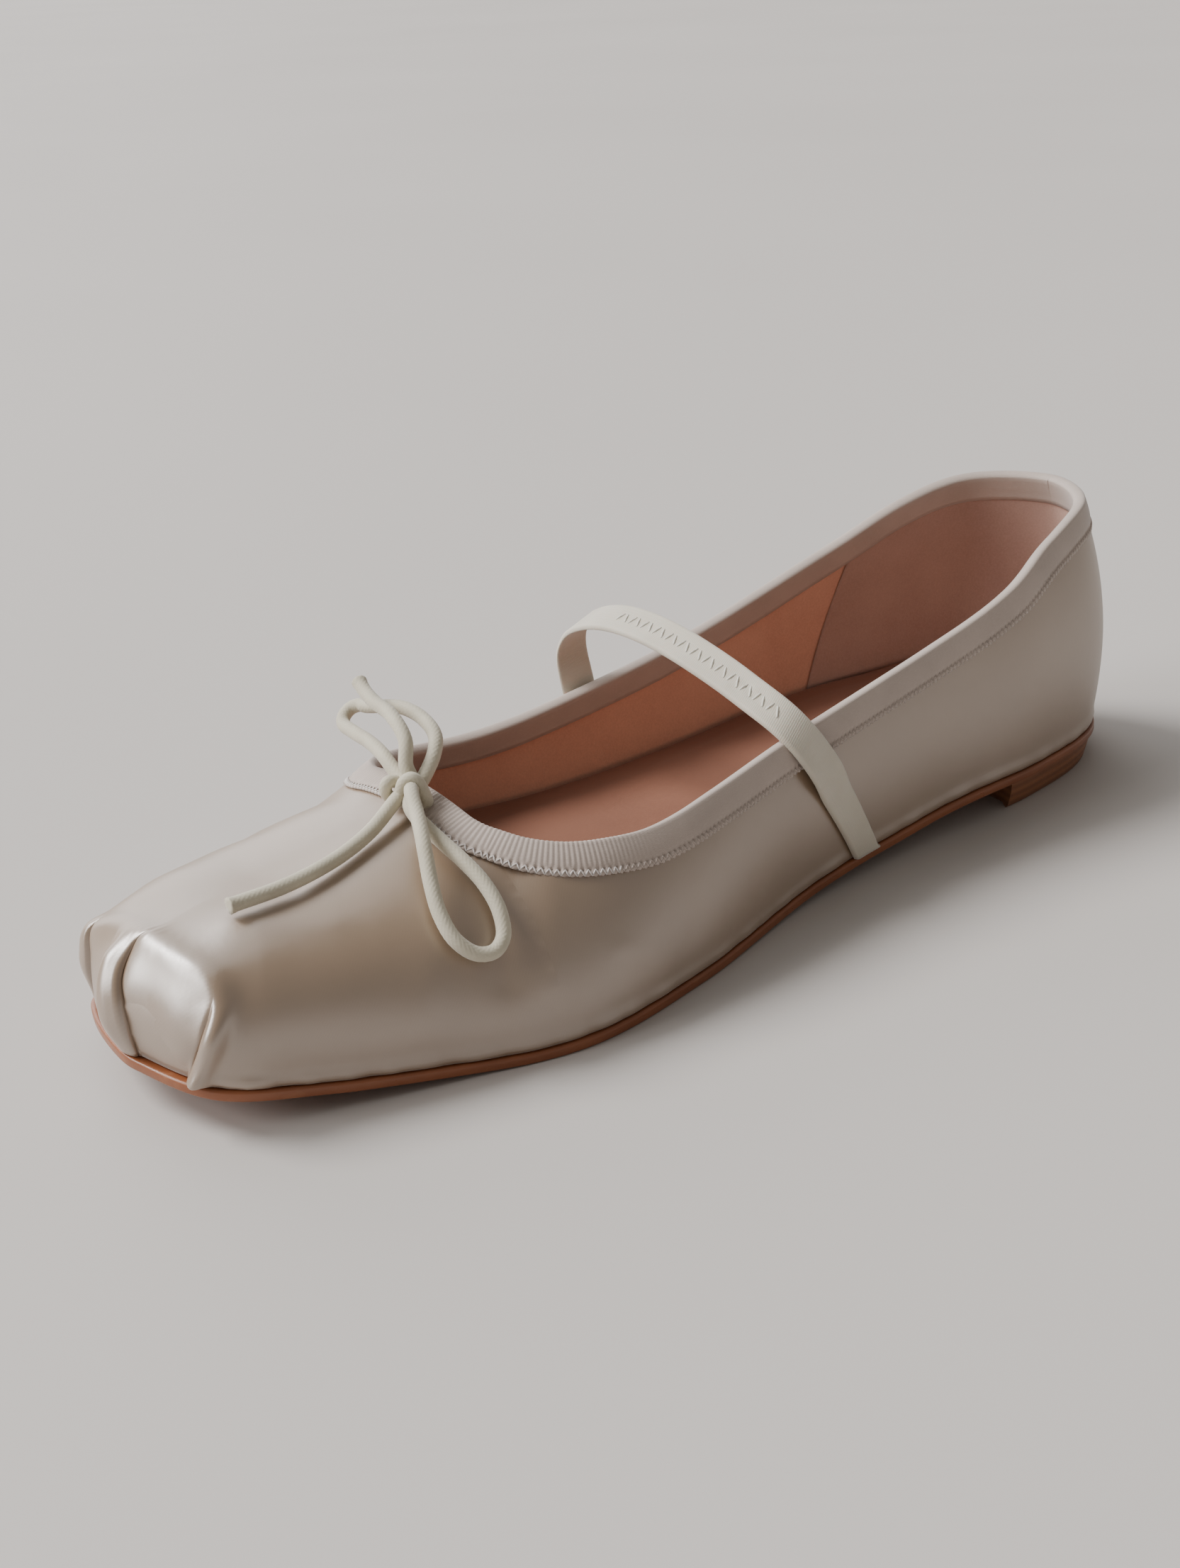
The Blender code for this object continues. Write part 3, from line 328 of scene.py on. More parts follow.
class Skin:
    """Collects the quads of one mesh, with cloth coordinates at each corner: millimetres along and
    across the piece."""

    def __init__(self):
        self.points, self.faces, self.corners, self.total = [], [], [], 0

    def add(self, grid):
        """Takes a table of points and gives back their numbers."""
        self.points.append(grid.reshape(-1, 3))
        ids = self.total + np.arange(len(self.points[-1])).reshape(grid.shape[:-1])
        self.total += ids.size
        return ids

    def quads(self, ids, u, v, close_along=False, close_round=False):
        """Quads over a table of point numbers. u has a value for each row and v for each column,
        and one more where the table closes on itself."""
        n, m = ids.shape
        i, j = np.meshgrid(np.arange(n - (not close_along)), np.arange(m - (not close_round)), indexing="ij")
        after, beside = (i + 1) % n, (j + 1) % m
        quad = np.stack([ids[i, j], ids[after, j], ids[after, beside], ids[i, beside]], -1).reshape(-1, 4)
        u, v = np.asarray(u, float), np.asarray(v, float)
        v = np.broadcast_to(v, (len(u), v.shape[-1]))
        corners = (i, j), (i + 1, j), (i + 1, j + 1), (i, j + 1)
        place = np.stack([np.stack([u[a], v[a, b]], -1) for a, b in corners], -2)
        for face, where in zip(quad.tolist(), place.reshape(-1, 4, 2).tolist()):
            kept = [k for k in range(4) if face[k] not in face[:k]]
            if len(kept) > 2:
                self.faces.append([face[k] for k in kept])
                self.corners.extend(where[k] for k in kept)

    def fan(self, ids):
        """One face over a ring of points."""
        self.faces.append([int(i) for i in ids])
        self.corners.extend([0.0, 0.0] for _ in ids)

    def cap(self, ids):
        """Flat ends of a tube."""
        self.fan(ids[0][::-1])
        self.fan(ids[-1])

    def piece(self, name, material):
        mesh = bpy.data.meshes.new(name)
        mesh.from_pydata(in_metres(np.vstack(self.points)).tolist(), [], self.faces)
        layer = mesh.uv_layers.new(name="cloth")
        layer.uv.foreach_set("vector", np.asarray(self.corners, np.float32).ravel())
        bm = bmesh.new()
        bm.from_mesh(mesh)
        bmesh.ops.delete(bm, geom=[v for v in bm.verts if not v.link_faces], context="VERTS")
        bmesh.ops.recalc_face_normals(bm, faces=bm.faces[:])
        bm.to_mesh(mesh)
        bm.free()
        mesh.shade_smooth()
        mesh.materials.append(material)
        piece = place_object(name, mesh)
        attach(piece, "root")
        return piece


# ---- the upper's columns

OUTER_FOLD, MIDDLE_FOLD, INNER_FOLD = range(3)
TOE_PLEATS = [  # foot, middle, top, side on which the upper fold lies
    (-13.0, -17.5, -19.0, -1),
    (3.2, 1.8, -0.8, -1),
    (15.3, 19.8, 21.5, 1)]
PLEAT_HEIGHTS = (0.0, 0.5, 0.85, 1.0)   # shares of the wall's height: foot, middle, top and crest
PLEAT_SPAN = 38.0
FOLDS = [  # the roll's rise, its width, its fall behind, the gap's depth, where it grows and fades, overhang
    (1.6, 2.4, 3.8, 0.75, (0.05, 0.42), (0.55, 0.82), 0.4),
    (2.0, 3.3, 4.5, 1.00, (-0.22, 0.36), (0.72, 0.94), 0.9),
    (1.7, 1.7, 2.6, 0.80, (-0.30, 0.10), (0.45, 0.72), 0.4)]
GAP_PARTS = ((0.75, 0.42), (0.25, 2.2))     # a narrow and a wide part: share of the depth, half width
PANEL_RECESS, PANEL_HIGH = 0.65, 0.20       # the front panel's foot lies back from the sole's edge
PANEL_EDGE = 1.2
FOLD_LUMP, LUMP_AT, LUMP_HALF = 0.6, (1.3, 0.09), (1.5, 0.07)       # on the inner corner's fold, at its foot
ROWS = 64
SAMPLES = 200
EDGE_STEPS = (0.08, 0.22, 0.4, 0.62, 0.9, 1.25, 1.7, 2.2)
TOPLINE_STEP = 1.7
TOE_STEP, CORNER_STEP, VAMP_STEP = 0.65, 1.1, 1.8
CORNER_FROM, VAMP_FROM = 24, 40


def vamp_arcs():
    """Places round the inner half of the toe, closer together at the folds; the outer half pairs
    them by their crest point."""
    throat = float(arc_of_crest(INNER, THROAT_X))
    places = [*np.arange(0, CORNER_FROM, TOE_STEP), *np.arange(CORNER_FROM, VAMP_FROM, CORNER_STEP),
              *np.linspace(VAMP_FROM, throat, int(round((throat - VAMP_FROM) / VAMP_STEP)) + 1)]
    edges = [pleat[0] for pleat in TOE_PLEATS if pleat[0] > 0]
    places = [p for p in places if all(abs(p - e) > EDGE_STEPS[-1] + 0.3 for e in edges)]
    places += [edge + s * k for edge in edges for s in (0, *EDGE_STEPS) for k in (-1, 1)]
    inner = np.unique(places)
    outer = arc_of_crest(OUTER, crest_x(INNER, inner))
    outer[0] = 0.0
    return inner, outer


VAMP_INNER, VAMP_OUTER = vamp_arcs()
CORNER_FOOT = -float(np.interp(TOE_PLEATS[INNER_FOLD][0], VAMP_INNER, VAMP_OUTER))


def pleat_places(share):
    """Signed places of the folded edges at each share of the height, a row for each pleat."""
    feet = (CORNER_FOOT, *(pleat[0] for pleat in TOE_PLEATS[1:]))
    return np.array([smooth_table(zip(PLEAT_HEIGHTS, (low, middle, top, low)), share)
                     for low, (_, middle, top, _) in zip(feet, TOE_PLEATS)])


LOW_PLACES = pleat_places(np.zeros(1))[:, 0]


def lean(place, share):
    """Columns near the toe lean with the pleats."""
    low, *levels = ([-PLEAT_SPAN, *row, PLEAT_SPAN] for row in (LOW_PLACES, *pleat_places(share).T))
    return np.array([np.interp(place, low, level) for level in levels])


def fold_profile(fold, d):
    """Height of the cloth beside a folded edge: d is the distance onto the upper fold."""
    rise, width, fall, depth = fold[:4]
    roll = np.sqrt(np.clip(1 - (1 - np.clip(d / width, 0, 1)) ** 2, 0, 1))
    gap = sum(part * hump(d / half) for part, half in GAP_PARTS)
    return rise * roll * (1 - ease((d - width) / fall)) - depth * gap


def pleat_height(place, share):
    """How far the folded cloth stands out of the wall or sinks beside a fold, and how far the
    fold's edge hangs sideways over the gap."""
    edges = pleat_places(share)
    height = np.zeros(len(share))
    aside = np.zeros(len(share))
    for (*_, over), fold, edge in zip(TOE_PLEATS, FOLDS, edges):
        (low, grown), (start, end), overhang = fold[4:]
        here = ease((share - low) / (grown - low)) * (1 - ease((share - start) / (end - start)))
        distance = (place - edge) * over
        height += fold_profile(fold, distance) * here
        aside -= over * overhang * np.where(distance > 0, hump((distance - 0.4) / 0.5), 0.0) * here
    front = ease((place - edges[MIDDLE_FOLD]) / PANEL_EDGE) * ease((edges[INNER_FOLD] - place) / PANEL_EDGE)
    beyond = (place - edges[INNER_FOLD] - LUMP_AT[0]) / LUMP_HALF[0]
    lump = hump(beyond) * hump((share - LUMP_AT[1]) / LUMP_HALF[1])
    return height - PANEL_RECESS * front * hump(share / PANEL_HIGH) + FOLD_LUMP * lump, aside


def divide(points, *values):
    """ROWS equal steps along a dense section, with values carried along."""
    run = lengths_along(points)
    at = np.linspace(0, run[-1], ROWS + 1)
    return [points_at(points, run, at), at] + [np.interp(at, run, v) for v in values]


def plain_column(side, arc, top=math.pi / 2):
    """Section without pleats: points, lengths, and no height or overhang."""
    flat = np.zeros(ROWS + 1)
    return (*divide(skin(side, arc, np.linspace(0, top, SAMPLES))), flat, flat)


def vamp_column(side, arc):
    """Section of the closed toe, with the pleats' height and overhang."""
    if arc >= PLEAT_SPAN:
        return plain_column(side, arc)
    phi = np.linspace(0, math.pi / 2, SAMPLES)
    share = np.sin(phi) ** (2 / POWER_TOE)
    places = lean(side * arc, share)
    points = np.where(places[:, None] >= 0, skin(INNER, np.maximum(places, 0), phi),
                      skin(OUTER, np.maximum(-places, 0), phi))
    points, run, places, share = divide(points, places, share)
    return (points, run, *pleat_height(places, share))


def merge_crest(ids, toe, last):
    """The two halves of the closed toe share their crest points."""
    beyond = np.arange(1, last - toe + 1)
    ids[toe + beyond, -1] = ids[toe - beyond, -1]
    return ids


class Ring:
    """All columns in order: heel, inner side, toe, outer side."""

    def __init__(self):
        inner, outer = (self.quarter(side) for side in SIDES)
        vamp = [(INNER, arc, vamp_column(INNER, arc)) for arc in VAMP_INNER[::-1]]
        vamp += [(OUTER, arc, vamp_column(OUTER, arc)) for arc in VAMP_OUTER[1:]]
        columns = inner[:0:-1] + vamp + outer[1:-1]
        self.throat_inner = len(inner) - 1
        self.toe = self.throat_inner + len(VAMP_INNER) - 1
        self.throat_outer = self.throat_inner + len(vamp) - 1
        self.count = len(columns)
        self.keys = [(side, float(arc)) for side, arc, _ in columns]
        self.place = np.array([side * arc for side, arc in self.keys])
        self.points, self.run, self.rise, self.aside = map(np.array, zip(*(c[2] for c in columns)))
        self.normal = self.normals()

    def quarter(self, side):
        """Columns under one side's topline, from the throat to the heel."""
        arcs = topline_arcs(side, TOPLINE_STEP)
        return [(side, arc, plain_column(side, arc, top)) for arc, top in zip(arcs, topline_phi(side, arcs))]

    def merged(self, ids):
        """Numbers of the points, with those on the toe's crest shared."""
        return merge_crest(ids, self.toe, self.throat_outer)

    def normals(self):
        """Outward unit normals of the plain wall."""
        ids = self.merged(np.arange(self.run.size).reshape(self.run.shape))
        after = np.roll(ids, -1, axis=0)
        quads = np.stack([ids[:, :-1], ids[:, 1:], after[:, 1:], after[:, :-1]], -1).reshape(-1, 4)
        corner = self.points.reshape(-1, 3)[quads]
        face = np.cross(corner[:, 2] - corner[:, 0], corner[:, 3] - corner[:, 1])
        total = np.zeros((self.run.size, 3))
        for k in range(4):
            np.add.at(total, quads[:, k], face)
        normal = unit(total)[ids]
        return -normal if normal[0, 1, 0] >= 0 else normal

    def along(self):
        """Unit vectors round the shoe, the way in which the places grow."""
        return unit(np.roll(self.points, 1, axis=0) - np.roll(self.points, -1, axis=0))

    def around(self):
        """Cloth coordinate round the shoe, with one more value where the ring closes."""
        return np.append(self.place, self.place[0] - HALF[INNER] - HALF[OUTER])


RING = Ring()

# soft troughs (negative) and ridges (positive) of the satin
TOE_RIDGE = [  # where the top of the toe turns down to its front, and on down the inner corner's fold
    (240, -15, 23.5), (238.5, -8, 26.7), (238, 0, 27.8), (237, 9, 27.3), (235, 17, 25.6), (235.3, 20.2, 23.8),
    (236.8, 21.2, 21.0), (238.4, 21.2, 18.2)]
CREASES = [  # points on the wall (x, y, z), height, half width
    ([(181, 26, 31), (186, 31, 24), (190, 36, 16)], -0.45, 2.6),
    ([(176, 30, 28), (180, 35, 21), (183, 39, 14)], 0.35, 3.0),
    ([(196, 25, 30), (201, 30, 22), (206, 33, 13)], 0.30, 3.4),
    ([(205, -22, 31), (209, -26, 24), (212, -29, 14)], -0.35, 3.2),
    ([(214, 8, 33), (216, -2, 34), (214, -12, 33)], -0.30, 2.8),
    (TOE_RIDGE, 1.1, 2.6),
    (TOE_RIDGE[:5], 0.5, 5.0),
    ([(244, 8, 19), (244.5, 10, 15)], -1.0, 5.5),
    ([(226, 9, 31), (221, 14, 31), (213, 19, 30)], 0.25, 3.0),
    ([(150, 41, 12), (154, 42, 18), (160, 41, 22)], -0.30, 2.6),
    ([(158, 42, 8), (162, 42, 13), (168, 41, 16)], 0.30, 2.4),
    ([(118, 36, 12), (124, 38, 19), (131, 39, 24)], -0.35, 3.4),
    ([(96, 34, 16), (99, 33, 24), (103, 31, 31)], 0.30, 3.6),
    ([(60, 35, 14), (64, 34, 24), (66, 32, 34)], -0.30, 4.0),
    ([(128, -42, 12), (133, -42, 18), (140, -42, 22)], -0.35, 3.2),
    ([(92, -36, 14), (96, -36, 22), (100, -34, 28)], 0.30, 3.6),
    ([(40, -34, 16), (44, -33, 26), (46, -31, 36)], -0.30, 4.0),
    ([(12, -16, 20), (9, -10, 30), (8, -4, 40)], -0.25, 3.6)]
EDGE_SWELL, SWELL_AT, SWELL_HALF = 0.7, 1.1, 1.3        # of the satin, just over the sole
PUCKER, PUCKER_FADE = 0.07, 3.2         # of the small gathers round the toe
TOE_SPAN = 60
WAVINESS = 0.10
SATIN_THICK = 0.7
LINING_SLACK = 0.12
LINING_BACK = SATIN_THICK + 0.06


def crease_height(points):
    """Sum of the creases at points of the wall."""
    height = np.zeros(points.shape[:-1])
    for route, rise, half in CREASES:
        nearest = np.full(height.shape, np.inf)
        for p in curve_through(route, 8):
            nearest = np.minimum(nearest, np.linalg.norm(points - p, axis=-1))
        height += rise * hump(nearest / half)
    return height


def puckers(place, run):
    """The satin swells over the edge of the sole, except at the toe, with small gathers."""
    toe = hump(place / TOE_SPAN)
    wave = (np.sin(place / 1.25 + 1.3 * np.sin(place / 7.3)) + 0.7 * np.sin(place / 2.1 + 2.0)
            + 0.3 * np.sin(place / 0.55 + np.sin(place / 4.1)))
    beside = ease((place - LOW_PLACES[INNER_FOLD]) / 1.5) + ease((LOW_PLACES[OUTER_FOLD] - 6 - place) / 4)
    swell = EDGE_SWELL * (1 + 0.25 * wave) * hump((run - SWELL_AT) / SWELL_HALF)
    return swell * (0.6 + 0.4 * toe) * beside + PUCKER * wave * toe * np.exp(-run / PUCKER_FADE)


def satin_height():
    """Pleats, creases, puckers and a slow waviness."""
    x, y, z = np.moveaxis(RING.points, -1, 0)
    slow = np.sin(x / 9.0 + 1.0) * np.sin(y / 8.0) * np.cos(z / 7.0)
    return (RING.rise + crease_height(RING.points) + puckers(RING.place[:, None], RING.run)
            + WAVINESS * slow * ease(RING.run / 8))


def add_rim(cloth, out_ids, in_ids, columns):
    for i in columns:
        j = (i + 1) % len(out_ids)
        face = dict.fromkeys((out_ids[i, -1], out_ids[j, -1], in_ids[j, -1], in_ids[i, -1]))
        if len(face) > 2:
            cloth.fan(face)


def make_satin(material):
    """Outer cloth of the upper, from the sole to the topline."""
    normal = RING.normal.copy()
    normal[:, 0] = unit(normal[:, 0] * (1, 1, 0))
    outer = RING.points + normal * satin_height()[..., None] + RING.along() * RING.aside[..., None]
    coarse = [0, 2, *range(8, ROWS + 1, 8)]
    inner = (RING.points - normal * SATIN_THICK)[:, coarse]
    cloth = Skin()
    out_ids, in_ids = RING.merged(cloth.add(outer)), RING.merged(cloth.add(inner))
    u = RING.around()
    v = np.vstack([RING.run, RING.run[:1]])
    cloth.quads(out_ids, u, v, close_along=True)
    cloth.quads(in_ids[:, ::-1], u, v[:, coarse[::-1]], close_along=True)
    cloth.quads(np.stack([in_ids[:, 0], out_ids[:, 0]], 1), u, (0, 1), close_along=True)
    open_rim = [i for i in range(RING.count) if not RING.throat_inner <= i < RING.throat_outer]
    add_rim(cloth, out_ids, in_ids, open_rim)
    return cloth.piece("satin_upper", material)


def lining_picks():
    """Every second column, the same on both halves of the toe."""
    evens = range(0, RING.count, 2)
    near = {i for i in evens if i < RING.toe} | {RING.throat_inner, RING.toe}
    mirrored = {2 * RING.toe - i for i in near if i >= RING.throat_inner}
    return sorted(near | mirrored | {i for i in evens if i > RING.throat_outer})


def make_lining(material):
    """Suede lining, turned in under the insole at the bottom."""
    picks = lining_picks()
    first, toe, last = (picks.index(i) for i in (RING.throat_inner, RING.toe, RING.throat_outer))
    points, normal = RING.points[picks], RING.normal[picks]
    fine = list(range(0, ROWS + 1, 2))
    coarse = [0, 4, *range(16, ROWS + 1, 16)]
    slack = LINING_SLACK * np.sin(points[..., 0] / 6.5) * np.sin(points[..., 2] / 5.0 + 1)
    inside = (points - normal * (WALL + slack)[..., None])[:, fine]
    hidden = (points - normal * LINING_BACK)[:, coarse]
    margin = np.zeros((len(picks), 2, 3))
    for i, (side, arc) in enumerate(RING.keys[pick] for pick in picks):
        plan, square, x = foot(side, arc), outward(side, arc), crest_x(side, arc)
        turned = plan + unit(np.array([x, crest_y(x)]) - plan) * MARGIN
        inside[i, 0] = (*(plan - square * WALL), feather_z(plan[0]) + MARGIN_THICK)
        hidden[i, 0] = (*(plan - square * LINING_BACK), feather_z(plan[0]))
        margin[i] = [(*turned, feather_z(turned[0]) + thick) for thick in (0, MARGIN_THICK)]
    cloth = Skin()
    in_ids, out_ids, edge = cloth.add(inside), cloth.add(hidden), cloth.add(margin)
    u = np.append(RING.place[picks], RING.around()[-1])
    run = np.vstack([RING.run[picks], RING.run[picks[:1]]])
    for ids, rows in ((in_ids, fine), (out_ids, coarse)):
        cloth.quads(merge_crest(ids, toe, last), u, run[:, rows], close_along=True)
    cloth.quads(np.stack([out_ids[:, 0], edge[:, 0], edge[:, 1], in_ids[:, 0]], 1), u,
                (0, MARGIN, MARGIN + 1, 2 * MARGIN), close_along=True)
    add_rim(cloth, out_ids, in_ids, [i for i in range(len(picks)) if not first <= i < last])
    return cloth.piece("suede_lining", material)


GRIP_FRONT = [  # height share up the wall, x of the heel lining's front edge
    (0.0, 56.0), (0.12, 54.6), (0.55, 49.7), (0.83, 46.8), (1.0, 45.3)]
GRIP_THICK, GRIP_GAP = 0.2, 0.2
GRIP_ROWS, GRIP_STEPS = 30, 60
GRIP_LOW, GRIP_SHARE = 0.10, 0.87       # how far up the wall it starts, and how much of it it covers


def make_heel_lining(material):
    """Darker suede inside the heel, laid on the lining; its front edges slant forward."""
    rows = np.linspace(0, 1, GRIP_ROWS)
    steps = np.linspace(0, 1, GRIP_STEPS)
    face, back = [], []
    for side, shares in ((INNER, steps), (OUTER, steps[-2::-1])):
        edge = arc_of_crest(side, smooth_table(GRIP_FRONT, rows))
        for t in shares:
            arc = edge * (1 - t) + HALF[side] * t
            phi = topline_phi(side, arc) * (GRIP_LOW + GRIP_SHARE * rows)
            points, normal = skin(side, arc, phi), skin_normal(side, np.minimum(arc, HALF[side] - 0.5), phi)
            face.append(points - normal * (WALL + GRIP_GAP + GRIP_THICK))
            back.append(points - normal * (WALL + GRIP_GAP))
    for k in (0, -1):
        face[k] = (face[k] + back[k]) / 2
    cloth = Skin()
    front, behind = cloth.add(np.array(face)), cloth.add(np.array(back)[:, ::6])
    u, v = np.arange(len(face)) * 1.5, rows * 40
    cloth.quads(front, u, v)
    cloth.quads(behind, u, v[::6])
    for k in (0, -1):
        cloth.fan([*front[k], *behind[k][::-1]])
    for k in (0, -1):
        cloth.quads(np.stack([front[:, k], behind[:, k]], 1), u, (0, 1))
    return cloth.piece("heel_lining", material)


# ---- the binding

RIB = 0.85              # pitch of the grosgrain's ribs
RIB_RISE = 0.07
BIND_STEP = 0.19
RIBS_FROM_X, RIBS_SPAN = 152.0, 18.0    # where the ribs start to show, towards the throat
RIBS_FAINT = 0.07       # what shows of them behind that
SCALLOP, SCALLOP_OUT, SCALLOP_LIFT = 1.15, 0.55, 0.14
STITCH_LINE, STITCH_INSIDE = 5.1, 4.6   # of the needle holes, down from the topline on each face
HOLE_DEPTH, HOLE_RADIUS = 0.40, 0.30
OUT_ROWS = (0.0, 0.5, 1.1, 2.0, 3.0, 3.9, 4.5, 4.85, 5.1, 5.35, 5.75, 6.15)
IN_ROWS = (0.0, 1.0, 2.2, 3.6, 5.0, 6.0)
TAPE_HEIGHT, TAPE_CROWN = 0.62, 0.10    # of the tape's face over the cloth under it
TAPE_BACK = 0.12        # of the tape's hidden face over the satin
FOLD_ANGLES = (150, 120, 90, 60, 30)    # of the rows round the topline
EDGE_HEIGHT, EDGE_BACK = 0.34, 0.30     # of the tape's lower edge between its scallops
ARC_STEP, PHI_STEP = 0.3, 0.008


def over_skin(side, arc, phi):
    """The skin, carried on over the crest to the other side."""
    near = skin(side, arc, np.minimum(phi, math.pi / 2))
    past = phi > math.pi / 2
    if not past.any():
        return near
    far = skin(-side, arc_of_crest(-side, crest_x(side, arc)), np.clip(math.pi - phi, 0, math.pi / 2))
    return np.where(past[:, None], far, near)


def slopes(side, arc, phi):
    """How the skin runs: for each millimetre round the shoe, and for each radian up its section."""
    ahead, behind = np.minimum(arc + ARC_STEP, HALF[side]), np.maximum(arc - ARC_STEP, 0)
    d_arc = over_skin(side, ahead, phi) - over_skin(side, behind, phi)
    d_phi = over_skin(side, arc, phi + PHI_STEP) - over_skin(side, arc, phi - PHI_STEP)
    return d_arc / (ahead - behind)[:, None], d_phi / (2 * PHI_STEP)


def walk(side, arc, phi, away, distances):
    """Points and normals over the skin, squarely off the topline, at each distance."""
    position = over_skin(side, arc, phi)
    out = []
    done = 0.0
    for goal in distances:
        steps = max(1, math.ceil((goal - done) / 1.5))
        for _ in range(steps if goal > done else 0):
            target = position + away * (goal - done) / steps
            for _ in range(4):
                da, dp = slopes(side, arc, phi)
                miss = target - over_skin(side, arc, phi)
                aa, ap, pp, ra, rp = ((p * q).sum(1) for p, q in
                                      ((da, da), (da, dp), (dp, dp), (da, miss), (dp, miss)))
                det = np.maximum(aa * pp - ap * ap, 1e-9)
                arc = np.clip(arc + (ra * pp - rp * ap) / det, 0, HALF[side])
                phi = phi + (rp * aa - ra * ap) / det
            moved = over_skin(side, arc, phi)
            away = unit(moved - position)
            position = moved
        done = goal
        normal = unit(np.cross(*slopes(side, arc, phi))) * side
        normal[0] = unit(normal[1] * (1, 0, 1))
        out.append((position, normal))
    return out


def topline_ring(distances, step):
    """Rows of points and normals off the whole topline, heel to throat to heel."""
    halves = []
    for side in SIDES:
        arc = topline_arcs(side, step)
        phi = topline_phi(side, arc)
        edge = skin(side, arc, phi)
        mirror = (1, -1, 1)
        run = unit(np.vstack([edge[1:], edge[-2] * mirror]) - np.vstack([edge[1] * mirror, edge[:-1]]))
        away = unit(np.cross(run, unit(np.cross(*slopes(side, arc, phi))) * side))
        away = away * np.sign(-away[len(arc) // 2, 2])
        away[0] = away[0] * np.sign(away[0] @ away[1])
        halves.append(walk(side, arc, phi, away, distances))
    return [tuple(np.vstack([a[::-1], b[1:-1]]) for a, b in zip(*row)) for row in zip(*halves)]


def make_binding(material):
    """Grosgrain folded over the topline, stitched down near its lower edge."""
    outside = topline_ring(OUT_ROWS, BIND_STEP)
    inside = topline_ring(IN_ROWS, BIND_STEP)
    edge, normal = outside[0]
    run = lengths_along(edge, True)
    whole, along = run[-1], run[:-1]
    throat = RIBS_FAINT + (1 - RIBS_FAINT) * ease((edge[:, 0] - RIBS_FROM_X) / RIBS_SPAN)
    turn = 2 * math.pi * along * round(whole / RIB) / whole
    rib = RIB_RISE * (0.4 - 2.0 * ((1 + np.cos(turn)) / 2) ** 2.5) * throat
    stitches = math.pi * along * round(whole / SCALLOP) / whole
    scallop, hole = np.abs(np.sin(stitches)), np.cos(stitches) ** 4
    up = unit(edge - outside[1][0])

    def lay(row, height, ribbed=0.0):
        return row[0] + row[1] * (height + ribbed * rib)[:, None]

    rows = [lay(outside[k], TAPE_BACK) for k in (11, 6, 0)]
    rows += [lay(row, -WALL - 0.15) for row in ((edge, normal), inside[3], inside[5])]
    for k in range(len(IN_ROWS) - 1, -1, -1):
        sunk = 0.2 * hump((IN_ROWS[k] - STITCH_INSIDE) / 0.8)
        rows.append(lay(inside[k], sunk - WALL - TAPE_HEIGHT, 0.5 if k < 5 else 0.0))
    for angle in np.radians(FOLD_ANGLES):
        cos, sin = math.cos(angle), math.sin(angle)
        ribbed = 0.8 * rib[:, None]
        rows.append(edge + normal * ((WALL / 2 + TAPE_HEIGHT + ribbed) * cos - WALL / 2)
                    + up * (TAPE_HEIGHT + ribbed) * sin)
    for distance, row in zip(OUT_ROWS[:-1], outside):
        crown = hump((distance - 2.2) / 1.5) - ease((distance - 4.0) / 0.9)
        height = TAPE_HEIGHT + TAPE_CROWN * crown
        pit = HOLE_DEPTH * hump((distance - STITCH_LINE) / HOLE_RADIUS) * hole
        rows.append(lay(row, height - pit, 1.0 if distance < 4.2 else 0.5))
    points, normals = outside[-1]
    away = unit(points - outside[-2][0])
    tooth = points + away * (SCALLOP_OUT * scallop - EDGE_BACK)[:, None]
    rows.append(lay((tooth, normals), EDGE_HEIGHT + SCALLOP_LIFT * scallop, 0.5))
    grid = np.array(rows).transpose(1, 0, 2)
    across = np.append(lengths_along(grid[0]), 40)
    cloth = Skin()
    cloth.quads(cloth.add(grid), run, across, close_along=True, close_round=True)
    return cloth.piece("grosgrain_binding", material)


# ---- threads

THREAD = 0.34
SHINY_X = 163.0         # in front of this the binding's thread is a shiny clear one
ZIGZAG_BAND = (5.15, 6.15)
THREAD_TOP, THREAD_LOW, THREAD_LIFT = TAPE_HEIGHT - 0.14, 0.28, 0.12    # heights of its corners, arch between
SHINY_LIFT = 0.06
LONGEST_STITCH, KNOT_CLEAR = 1.6, 2.5


def frames_along(points, closed=False):
    """Two unit vectors square to a line, turning as little as they can."""
    step = np.roll(points, -1, 0) - np.roll(points, 1, 0) if closed else np.gradient(points, axis=0)
    along = unit(step)
    side = np.zeros_like(points)
    start = np.cross(along[0], (0.0, 0.0, 1.0))
    side[0] = unit(start if np.linalg.norm(start) >= 0.2 else np.cross(along[0], (0.0, 1.0, 0.0)))
    for i in range(1, len(points)):
        side[i] = unit(side[i - 1] - along[i] * (side[i - 1] @ along[i]))
    return side, np.cross(along, side)


def spokes(frames, angle):
    """Unit vectors round a line, at each angle from its first frame vector."""
    a, b = frames
    return np.cos(angle)[..., None] * a[:, None] + np.sin(angle)[..., None] * b[:, None]


def add_tube(cloth, line, radius, sides):
    """Tube of a thread round a line, with flat ends."""
    turn = np.linspace(0, 2 * math.pi, sides + 1)
    ids = cloth.add(line[:, None] + spokes(frames_along(line), turn[None, :-1]) * radius)
    cloth.quads(ids, lengths_along(line), turn * radius, close_round=True)
    cloth.cap(ids)


def stretches(wanted):
    """Start and end of each unbroken stretch of True."""
    changes = np.flatnonzero(np.diff([0, *wanted.astype(int), 0]))
    return zip(changes[::2], changes[1::2])


